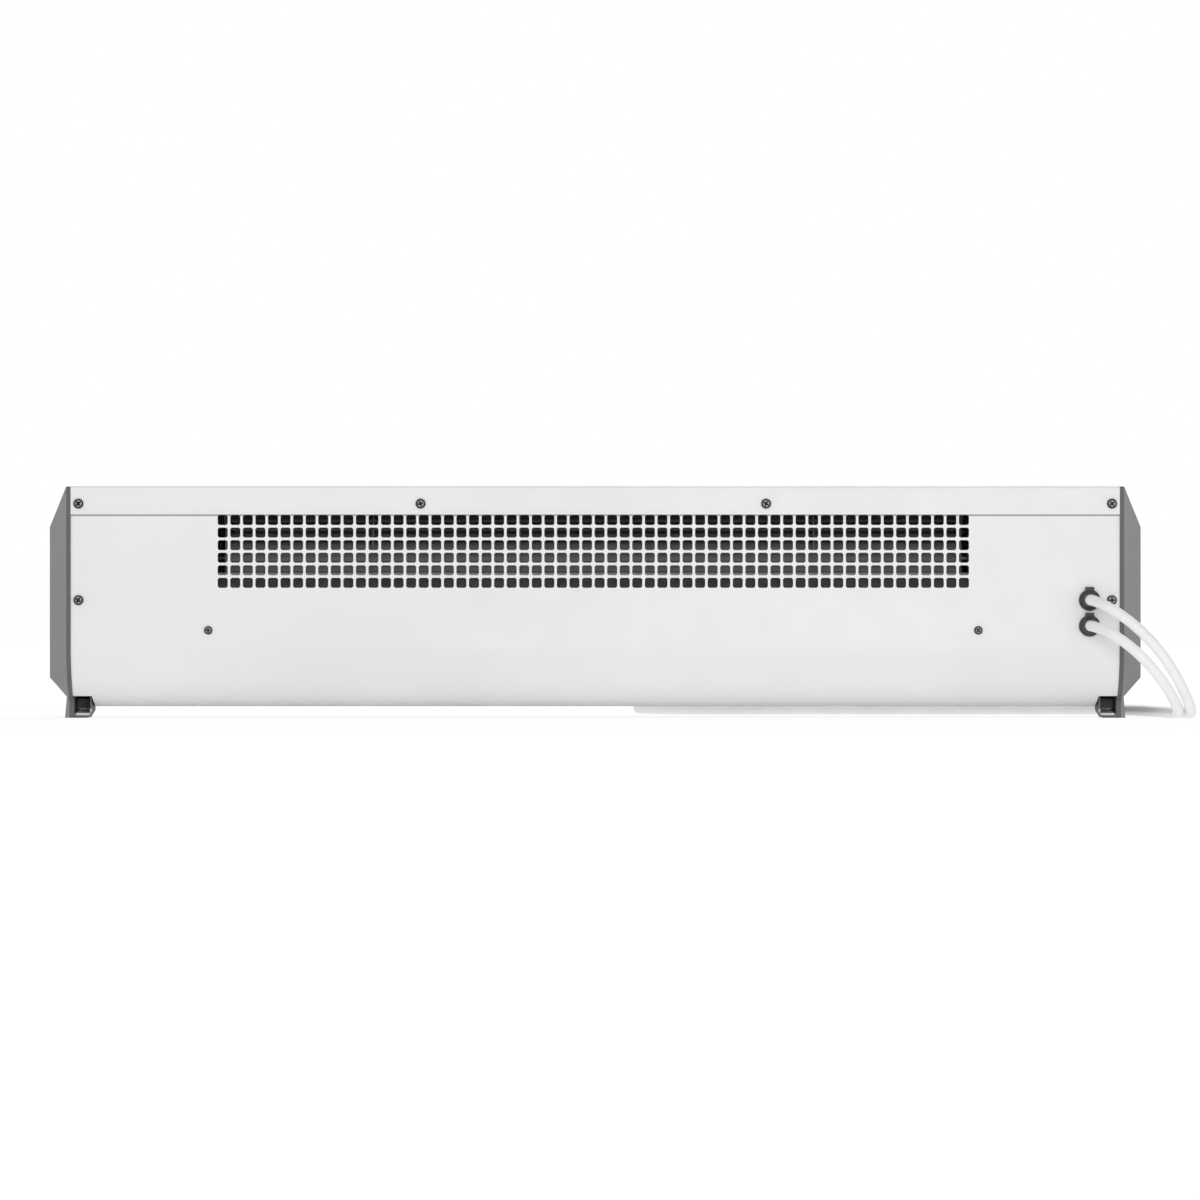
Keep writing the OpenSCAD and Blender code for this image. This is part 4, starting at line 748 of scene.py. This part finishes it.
def lead(name, route, coil_centre, tail):
    """One smooth round lead through its free stretch, its coil and the run to what it ends in."""
    points = route + coil_points(coil_centre) + tail
    curve = bpy.data.curves.new(name, "CURVE")
    curve.dimensions = "3D"
    curve.resolution_u = 5
    curve.bevel_depth = LEAD_D / 2
    curve.bevel_resolution = 5
    curve.use_fill_caps = True
    line = curve.splines.new("BEZIER")
    line.bezier_points.add(len(points) - 1)
    for knot, point in zip(line.bezier_points, points):
        knot.co = point
        knot.handle_left_type = knot.handle_right_type = "AUTO"
    return shown(name, curve, "root", "white_pvc")


# How far the mains lead has gone from its coil, and its share there of the climb to the plug
PLUG_CLIMB = [(10 * MM, 0.2), (22 * MM, 0.6), (34 * MM, 0.92), (PLUG_RUN - LEAD_D, 1),
              (PLUG_RUN, 1)]
mains_tail_end = [(MAINS_COIL.x + run, MAINS_COIL.y + COIL_OUT_R,
                   COIL_TOP_Z + share * (PLUG_Z - COIL_TOP_Z)) for run, share in PLUG_CLIMB]
control_tail_end = [(CONTROL_COIL.x + run, CONTROL_COIL.y + COIL_OUT_R, COIL_TOP_Z)
                    for run in (20 * MM, 40 * MM, CONTROL_RUN)]
mains_cord = lead("mains_cord", MAINS_ROUTE, MAINS_COIL, mains_tail_end)
control_cord = lead("control_cord", CONTROL_ROUTE, CONTROL_COIL, control_tail_end)
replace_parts(mains_cord, "mains_lead", "mains_coil")
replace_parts(control_cord, "control_lead", "control_coil")


# --- Shells of what shows, with rounded edges ---

SHELLS = [
    # node, edge radius in mm, body, shortest edge that is rounded in mm
    ("top_panel", 0.5, "root", 12),
    ("rear_panel", 0.35, "root", 200),
    ("front_panel", 0.35, "root", 200),
    ("end_cap_left", 0.7, "root", 3),
    ("end_cap_right", 0.7, "root", 3),
    ("control_base", 1.2, "root", 10),
    ("control_cover", 1.2, "root", 6),
    ("rocker_fan", 0.4, "fan_rocker", 3),
    ("rocker_heat", 0.4, "heat_rocker", 3),
    ("plug_body", 0.4, "root", 4),
    ("gland_upper", 0.3, "root", 2),
    ("gland_lower", 0.3, "root", 2),
]
shells = {node: softened(node, radius, body, shortest) for node, radius, body, shortest in SHELLS}


# --- Screws: pan heads with a cross recess, each stopped at its own angle ---

def pan_screw(head_r, head_h, shank_r, length):
    """One screw at the origin, its head towards -Y and the recess cut into it, down to its rim."""
    flat_r, rim_h, arm, reach = 0.55 * head_r, 0.25 * head_h, 0.17 * head_r, 0.62 * head_r
    dome = [(flat_r + (head_r - flat_r) * math.cos(math.radians(a)),
             -rim_h - (head_h - rim_h) * math.sin(math.radians(a))) for a in range(0, 91, 10)]
    shank = [(0, length), (shank_r - 0.5, length), (shank_r, length - 0.6), (shank_r, 0),
             (head_r, 0)]
    head = turned("pan_screw", shank + dome + [(0, -head_h)], sides=32, along="Y")
    cross = [(arm, arm), (arm, reach), (-arm, reach), (-arm, arm), (-reach, arm), (-reach, -arm),
             (-arm, -arm), (-arm, -reach), (arm, -reach), (arm, -arm), (reach, -arm), (reach, arm)]
    return cut(head, prism("cross_recess", cross, -head_h - 0.3, -rim_h, "Y", taper=0.5))


def screw_in(node, screw, places, seed):
    """Sets out a node's screws on their places in mm."""
    mesh = bpy.data.meshes.new(node)
    mesh.from_pydata([[v * MM for v in place] for place in places], [], [])
    piece = grown(node + "_heads", SCREWS, slot_of[node], fixed=mesh, shapes={"Screw": screw},
                  material=SCREW_ZINC_PAINTED_REFLECTION, Seed=seed)
    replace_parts(piece, node)


works_x = middle("impeller").x
lip_y, panel_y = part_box("top_panel")[0].y / MM, intake_y / MM
# How far each kind of screw is from the middle, and how high it stands
CORNER_X, LIP_X, SMALL_X = 411.3, 137.5, 306.5
LIP_ROW_Z, END_ROW_Z, SMALL_ROW_Z = 171.0, 94.2, 70.2
panel_places = [(x, lip_y, LIP_ROW_Z)
                for x in (-CORNER_X, works_x - LIP_X, works_x + LIP_X, CORNER_X)]
panel_places += [(x, panel_y, END_ROW_Z) for x in (-CORNER_X, CORNER_X)]
small_places = [(works_x + s * SMALL_X, panel_y, SMALL_ROW_Z) for s in (-1, 1)]
screw_in("panel_screws", pan_screw(head_r=4.0, head_h=2.4, shank_r=2.0, length=8),
         panel_places, seed=3)
screw_in("fan_plate_screws", pan_screw(head_r=3.4, head_h=2.0, shank_r=1.5, length=6),
         small_places, seed=8)


# --- Works behind the grille and over the outlet ---

def rotor():
    """32 thin leaves between discs. Each leaf curves forward towards the rim."""
    low, high = corners_mm("impeller")
    axis = middle("impeller")
    rim, root_r, ease = (high.z - low.z) / 2, 35.0, 0.3
    leaves, leaf_t, sweep, leaf_steps = 32, 0.6, 14, 8
    discs, disc_t, disc_in_r = 6, 1.5, root_r - 1.5
    bore_r, hub_r, hub_length, end_t = 4.0, 10, 18, 3.0
    steps = [i / leaf_steps for i in range(leaf_steps + 1)]
    side = [(root_r + (rim - ease - root_r) * u, math.radians(sweep * u * u)) for u in steps]
    outline = [(r * math.cos(a), r * math.sin(a)) for r, a in side]
    outline += [(r * math.cos(a + leaf_t / r), r * math.sin(a + leaf_t / r))
                for r, a in reversed(side)]
    leaf = prism("leaf", outline, low.x, high.x)
    disc = [(disc_in_r, 0), (rim - ease, 0), (rim, ease), (rim, disc_t - ease),
            (rim - ease, disc_t), (disc_in_r, disc_t)]
    disc = turned("disc", disc, sides=64, loop=True)
    hub = [(bore_r, 0), (rim - 0.4, 0), (rim, 0.4), (rim, end_t), (hub_r + 2, end_t),
           (hub_r + 0.6, end_t + 1.2), (hub_r, hub_length), (bore_r, hub_length)]
    ends = [turned("end", [(r, face + inwards * far) for r, far in hub], sides=64,
                   at=(0, axis.y, axis.z), loop=True)
            for face, inwards in ((low.x, 1), (high.x, -1))]
    step = (high.x - low.x - disc_t) / (discs - 1)
    centre = Vector((0, axis.y, axis.z)) * MM
    return grown("impeller_leaves", ROTOR, "rotor_aluminium", "rotor", joined("ends", ends),
                 shapes={"Leaf": leaf, "Disc": disc}, Count=leaves, Centre=centre,
                 Step_Angle=math.tau / leaves, Discs=discs - 2,
                 First_Disc=centre + Vector(((low.x + step) * MM, 0, 0)),
                 Disc_Step=Vector((step * MM, 0, 0)))


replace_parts(rotor(), "impeller")


def finned_heater(node):
    """A sheathed element with its terminal pins, and a steel ribbon wound on edge round it."""
    low, high = corners_mm(node)
    centre, tube_r, fin_r, ribbon_t, pitch = middle(node), 4.25, 10.0, 0.5, 4.0
    pin_r, pin_length, seal_r, bare = 2, 10.0, 3.1, 30.0
    end = [(0, 0), (pin_r - 0.3, 0), (pin_r, 0.4), (pin_r, pin_length), (seal_r - 0.2, pin_length),
           (seal_r, pin_length + 3), (tube_r, pin_length + 4)]
    profile = [(r, low.x + far) for r, far in end]
    profile += [(r, high.x - far) for r, far in reversed(end)]
    tube = turned("tube", profile, sides=24, at=(0, centre.y, centre.z))
    start = low.x + pin_length + bare
    length = high.x - pin_length - bare - start
    piece = grown(node + "_ribbon", SPIRAL_FIN, slot_of[node], fixed=tube,
                  Start=Vector((start, centre.y, centre.z)) * MM, Length=length * MM,
                  Turns=length / pitch, Middle_Radius=(tube_r + fin_r) / 2 * MM,
                  Fin_Height=(fin_r - tube_r) * MM, Fin_Thickness=ribbon_t * MM)
    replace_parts(piece, node)


for node in ("heater_rear", "heater_middle", "heater_front"):
    finned_heater(node)


def welded_guard():
    """Two long rods and 20 cross wires with round ends, and a bead of weld where they meet."""
    low, high = corners_mm("outlet_guard")
    z, wire_r, rod_r, wires = middle("outlet_guard").z, 1.0, 1.25, 20
    rod_ys, end_gap = (8.0, 34.0), 15.5
    reach = high.x - low.x - 2 * end_gap
    ball = [(math.cos(math.radians(a)), math.sin(math.radians(a))) for a in range(0, 91, 30)]
    ends = [(wire_r * c, low.y + wire_r - wire_r * s) for c, s in reversed(ball)]
    ends += [(wire_r * c, high.y - wire_r + wire_r * s) for c, s in ball]
    wire = turned("wire", ends, sides=12, along="Y")
    bead = [(0, -2.2), (1.3, -1.6), (1.75, 0), (1.3, 1.6), (0, 2.2)]
    beads = [turned("bead", [(r, y + far) for r, far in bead], sides=10, along="Y") for y in rod_ys]
    rod = [(0, low.x), (rod_r - 0.3, low.x), (rod_r, low.x + 0.3), (rod_r, high.x - 0.3),
           (rod_r - 0.3, high.x), (0, high.x)]
    rods = [turned("rod", rod, sides=16, at=(0, y, z)) for y in rod_ys]
    start = Vector(((low.x + high.x - reach) / 2, 0, z))
    return grown("outlet_guard_wires", ROW, "zinc_plate", fixed=joined("rods", rods),
                 shapes={"Shape": joined("wire", [wire] + beads)}, Count=wires,
                 Start=start * MM, Step=Vector((reach / (wires - 1) * MM, 0, 0)))


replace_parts(welded_guard(), "outlet_guard")


# --- Wall control: knob, dial and rockers' marks ---

cover_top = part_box("control_cover")[1].z / MM
knob_low, knob_high = corners_mm("thermostat_knob")
knob_c = middle("thermostat_knob")
KNOB_FOOT, KNOB_R = cover_top + 0.4, 15.0
KNOB_TOP = knob_high.z


def control_knob():
    """A knob with a skirt and 24 grip ribs on its side."""
    ribs, spindle_r = 24, 3
    skirt = [(0, knob_low.z), (spindle_r, knob_low.z), (spindle_r, KNOB_FOOT),
             (KNOB_R - 0.3, KNOB_FOOT), (KNOB_R, KNOB_FOOT + 0.3), (KNOB_R, KNOB_FOOT + 1.7),
             (KNOB_R - 0.4, KNOB_FOOT + 2.1), (KNOB_R - 1.8, KNOB_FOOT + 2.6)]
    crown = [(KNOB_R - 2.9, KNOB_TOP - 1.2), (KNOB_R - 3.3, KNOB_TOP - 0.4),
             (KNOB_R - 4.1, KNOB_TOP), (0, KNOB_TOP - 0.25)]
    body = turned("knob", skirt + crown, sides=72, along="Z", at=(knob_c.x, knob_c.y, 0))
    rib = [(KNOB_R - 2.4, -0.7), (KNOB_R - 1.5, -0.5), (KNOB_R - 1.15, 0), (KNOB_R - 1.5, 0.5),
           (KNOB_R - 2.4, 0.7)]
    rib = prism("grip_rib", rib, KNOB_FOOT + 2.2, KNOB_TOP - 1.3, "Z", 0.93)
    return grown("thermostat_knob_ribbed", RING, "control_grey", "knob", body,
                 shapes={"Shape": rib}, Count=ribs, Centre=Vector((knob_c.x, knob_c.y, 0)) * MM,
                 Step_Angle=math.tau / ribs)


knob = control_knob()
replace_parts(knob, "thermostat_knob")
# The pointer is a bar of ink let into the top, along the knob's +X
pointer = prism("knob_pointer", [(3.5, -0.6), (10.4, -0.6), (10.6, 0), (10.4, 0.6), (3.5, 0.6)],
                KNOB_TOP - 0.6, KNOB_TOP + 0.06, "Z", at=(knob_c.x, knob_c.y, 0))
pointer = shown("knob_pointer", pointer, "knob", "control_grey", PRINT_INK)

# Printed scale round the knob: 11 ticks over 270 degrees, and a number at every second tick
TICKS, TICK_STEP, TICK_IN_R, TICK_OUT_R = 11, 27, 16.2, 17.9
NUMBER_R, NUMBER_MM = 20.3, 3.4
tick = [(TICK_IN_R, -0.2), (TICK_OUT_R, -0.2), (TICK_OUT_R, 0.2), (TICK_IN_R, 0.2)]
tick = prism("tick", tick, 0, 0.05, "Z")
dial = grown("dial_ticks", RING, "white_urea", material=PRINT_INK, shapes={"Shape": tick},
             Count=TICKS, Centre=Vector((knob_c.x, knob_c.y, cover_top)) * MM,
             Step_Angle=math.radians(TICK_STEP))
# Figures are read from the side of the leads
UPRIGHT = Matrix.Rotation(math.radians(-90), 4, "Z")
numbers = []
for i in range(0, TICKS, 2):
    angle = math.radians(TICK_STEP * i)
    place = Vector((knob_c.x + NUMBER_R * math.cos(angle), knob_c.y + NUMBER_R * math.sin(angle),
                    cover_top + 0.03)) * MM
    numbers.append(figure(str(i // 2 + 1), NUMBER_MM, Matrix.Translation(place) @ UPRIGHT))
dial_numbers = shown("dial_numbers", joined("dial_numbers", numbers), "root", "white_urea",
                     PRINT_INK)

# A rocker's slopes rise from its middle to its ends, and its pivot lies under the cover's top
ROCKER_TILT, ROCKER_RISE, ROCKER_HALF = math.radians(7), 2.6, 9.3
PIVOT_DEPTH, MARK_OUT, MARK_MM = 4.0, 5, 4.2


def rocker_marks(node, body):
    """0 and I, printed on the two slopes of a rocker."""
    centre = middle(node)
    slope = math.atan(ROCKER_RISE / ROCKER_HALF)
    pivot = Vector((centre.x, centre.y, cover_top - PIVOT_DEPTH)) * MM
    tilted = Matrix.Translation(pivot) @ Matrix.Rotation(ROCKER_TILT, 4, "X")
    lift = PIVOT_DEPTH + ROCKER_RISE * MARK_OUT / ROCKER_HALF + 0.02
    marks = []
    for side, text in ((-1, "0"), (1, "I")):
        spot = Matrix.Translation(Vector((0, side * MARK_OUT, lift)) * MM)
        on_face = spot @ Matrix.Rotation(side * slope, 4, "X")
        marks.append(figure(text, MARK_MM, tilted @ on_face @ UPRIGHT))
    return shown(node + "_marks", joined(node + "_marks", marks), body, "control_grey", PRINT_INK)


fan_marks = rocker_marks("rocker_fan", "fan_rocker")
heat_marks = rocker_marks("rocker_heat", "heat_rocker")


# --- Rubber sleeves on the leads' ends, and the plug's grip ---

def ribbed_sleeve(name, start, far_r, near_r, length, ribs):
    """A rubber sleeve on a lead, along X from its far end at start, with ribs round it."""
    bore = LEAD_D / MM / 2 + 0.03
    profile = [(bore, 0), (far_r - 0.4, 0), (far_r, 0.5)]
    for i in range(ribs):
        far = 2.0 + i * (length - 4.0) / ribs
        radius = far_r + (near_r - far_r) * far / length
        profile += [(radius, far), (radius + 0.55, far + 0.5), (radius + 0.6, far + 1.3),
                    (radius, far + 1.8)]
    profile += [(near_r, length - 1.2), (near_r, length), (bore, length)]
    return shown(name, turned(name, profile, sides=32, at=start, loop=True), "root", "white_rubber")


SLEEVE_MM = 20
plug_low, plug_high = corners_mm("plug_body")
plug_c = middle("plug_body")
entry = (corners_mm("control_base")[0].x - SLEEVE_MM, CONTROL_COIL.y / MM + COIL_OUT_R / MM,
         COIL_TOP_Z / MM)
control_sleeve = ribbed_sleeve("control_sleeve", entry, far_r=5.3, near_r=6.8,
                               length=SLEEVE_MM, ribs=5)
plug_sleeve = ribbed_sleeve("plug_sleeve", (plug_low.x + 0.3, plug_c.y, plug_c.z), far_r=5.9,
                            near_r=8.1, length=26, ribs=7)
# Grip ridges on both sides of the plug
RIDGES, RIDGE_Y, RIDGE_HALF, RIDGE_MM, RIDGE_STEP, RIDGES_FROM = 5, 18.7, 6, 1.1, 2.6, 15
ridge = joined("ridge", [
    prism("ridge", [(y - 0.5, -RIDGE_HALF), (y + 0.5, -RIDGE_HALF), (y + 0.5, RIDGE_HALF),
                    (y - 0.5, RIDGE_HALF)], 0, RIDGE_MM, at=(0, plug_c.y, plug_c.z))
    for y in (-RIDGE_Y, RIDGE_Y)])
plug_grip = grown("plug_grip", ROW, "white_rubber", shapes={"Shape": ridge}, Count=RIDGES,
                  Start=Vector((plug_high.x - RIDGES_FROM, 0, 0)) * MM,
                  Step=Vector((RIDGE_STEP * MM, 0, 0)))


# --- Studio: white surroundings, soft lamps and a pale floor ---

AMBIENT = 0.5
WHITE = (1.0, 1.0, 1.0, 1.0)
GLOW = 1.08
# Share of the floor's glow near the object, and how far off it begins to grow and is all glow
FLOOR_GLOW, FADE_FROM, FADE_TO = 0.82, 0.6, 1.3
# Share of the glow that lights the object. It is left out under the casing, as a painted shadow
# of the casing on the table, and starts beside the casing, at these distances from the middle,
# across and along.
LIGHT_TABLE = 0.58
SHADOW_EDGE_Y, SHADOW_EDGE_X = (0.03, 0.07), (0.40, 0.44)
FLOOR_HALF, FLOOR_LEVEL = 9.0, -0.2 * MM


def seen_as_white(tree):
    """1 for rays from the camera, a gloss or glass, and 0 for rays that light a surface."""
    path = add(tree, "ShaderNodeLightPath").outputs
    seen = path["Is Camera Ray"]
    for other in ("Is Glossy Ray", "Is Transmission Ray"):
        seen = add(tree, MATH, (seen, path[other]), operation="MAXIMUM")
    return seen


def make_world():
    world = bpy.data.worlds.new("studio")
    tree = cleared(world)
    strength = add(tree, RANGE, (seen_as_white(tree), 0, 1, AMBIENT, 1))
    glow = add(tree, "ShaderNodeBackground", {"Color": WHITE, "Strength": strength})
    add(tree, "ShaderNodeOutputWorld", {"Surface": glow})
    scene.world = world


def make_floor():
    """A matt white sheet on a light table. Part of what the camera sees of it is a plain glow,
    which leaves the shadow on it, and away from the object it is all glow, so that the floor runs
    into the white behind it. A lesser part of the glow, from beside the object, lights what stands
    on it from below, and under the object that glow is left out, as a painted shadow. From
    underneath it is clear."""
    material = bpy.data.materials.new("white_paper")
    tree = cleared(material)
    matt = add(tree, "ShaderNodeBsdfDiffuse", {"Color": linear("#F2F2F2")})
    glow = add(tree, "ShaderNodeEmission", {"Color": WHITE, "Strength": GLOW})
    place = add(tree, COORDINATES).outputs["Object"]
    away = add(tree, "ShaderNodeVectorMath", (place,), operation="LENGTH").outputs[1]
    share = add(tree, RANGE, (away, FADE_FROM, FADE_TO, FLOOR_GLOW, 1))
    beside = add(tree, "ShaderNodeVectorMath", (place,), operation="ABSOLUTE")
    beside = add(tree, APART, (beside,)).outputs
    # Painted shadow: the glow that lights is left out under the casing, and grows to its share
    # beside it
    behind = add(tree, RANGE, (beside[1], *SHADOW_EDGE_Y, 0, LIGHT_TABLE))
    lights = add(tree, RANGE, (beside[0], *SHADOW_EDGE_X, behind, LIGHT_TABLE))
    whole = add(tree, RANGE, (seen_as_white(tree), 0, 1, lights, 1))
    share = add(tree, MATH, (share, whole), operation="MULTIPLY")
    mix = add(tree, "ShaderNodeMixShader", (share, matt, glow))
    below = add(tree, "ShaderNodeNewGeometry").outputs["Backfacing"]
    clear = add(tree, "ShaderNodeBsdfTransparent")
    sheet = add(tree, "ShaderNodeMixShader", (below, mix, clear))
    add(tree, "ShaderNodeOutputMaterial", {"Surface": sheet})
    mesh = bpy.data.meshes.new("floor")
    corners = [(x * FLOOR_HALF, y * FLOOR_HALF, FLOOR_LEVEL)
               for x, y in ((-1, -1), (1, -1), (1, 1), (-1, 1))]
    mesh.from_pydata(corners, [], [(0, 1, 2, 3)])
    mesh.materials.append(material)
    linked("floor", mesh)


LAMPS = [
    # name, place, width and height in metres, power in watts
    ("key", (-1.3, -2.3, 2.0), (1.2, 1.2), 7),
    ("low_front", (0.35, -3.4, 0.3), (1.6, 0.3), 20),
    ("fill", (2.0, -2.6, 0.8), (1.8, 1.8), 5),
    ("back", (0.6, 2.6, 2.0), (1.8, 1.8), 30),
]
LAMPS_AIM = Vector((0, 0, 0.1))


def make_lamp(name, place, size, power):
    """A soft box, turned to the casing's middle."""
    lamp = bpy.data.lights.new(name, "AREA")
    lamp.shape = "RECTANGLE"
    lamp.size, lamp.size_y = size
    lamp.energy = power
    holder = linked(name, lamp)
    holder.location = place
    holder.rotation_euler = (LAMPS_AIM - Vector(place)).to_track_quat("-Z", "Y").to_euler()


make_world()
make_floor()
for lamp in LAMPS:
    make_lamp(*lamp)
scene.view_settings.view_transform = "Standard"


# --- What goes with the control lead ---

control_pieces = [shells[node] for node in ("control_base", "control_cover", "rocker_fan",
                                            "rocker_heat", "gland_lower")]
control_pieces += [knob, pointer, dial, dial_numbers, fan_marks, heat_marks, control_sleeve]
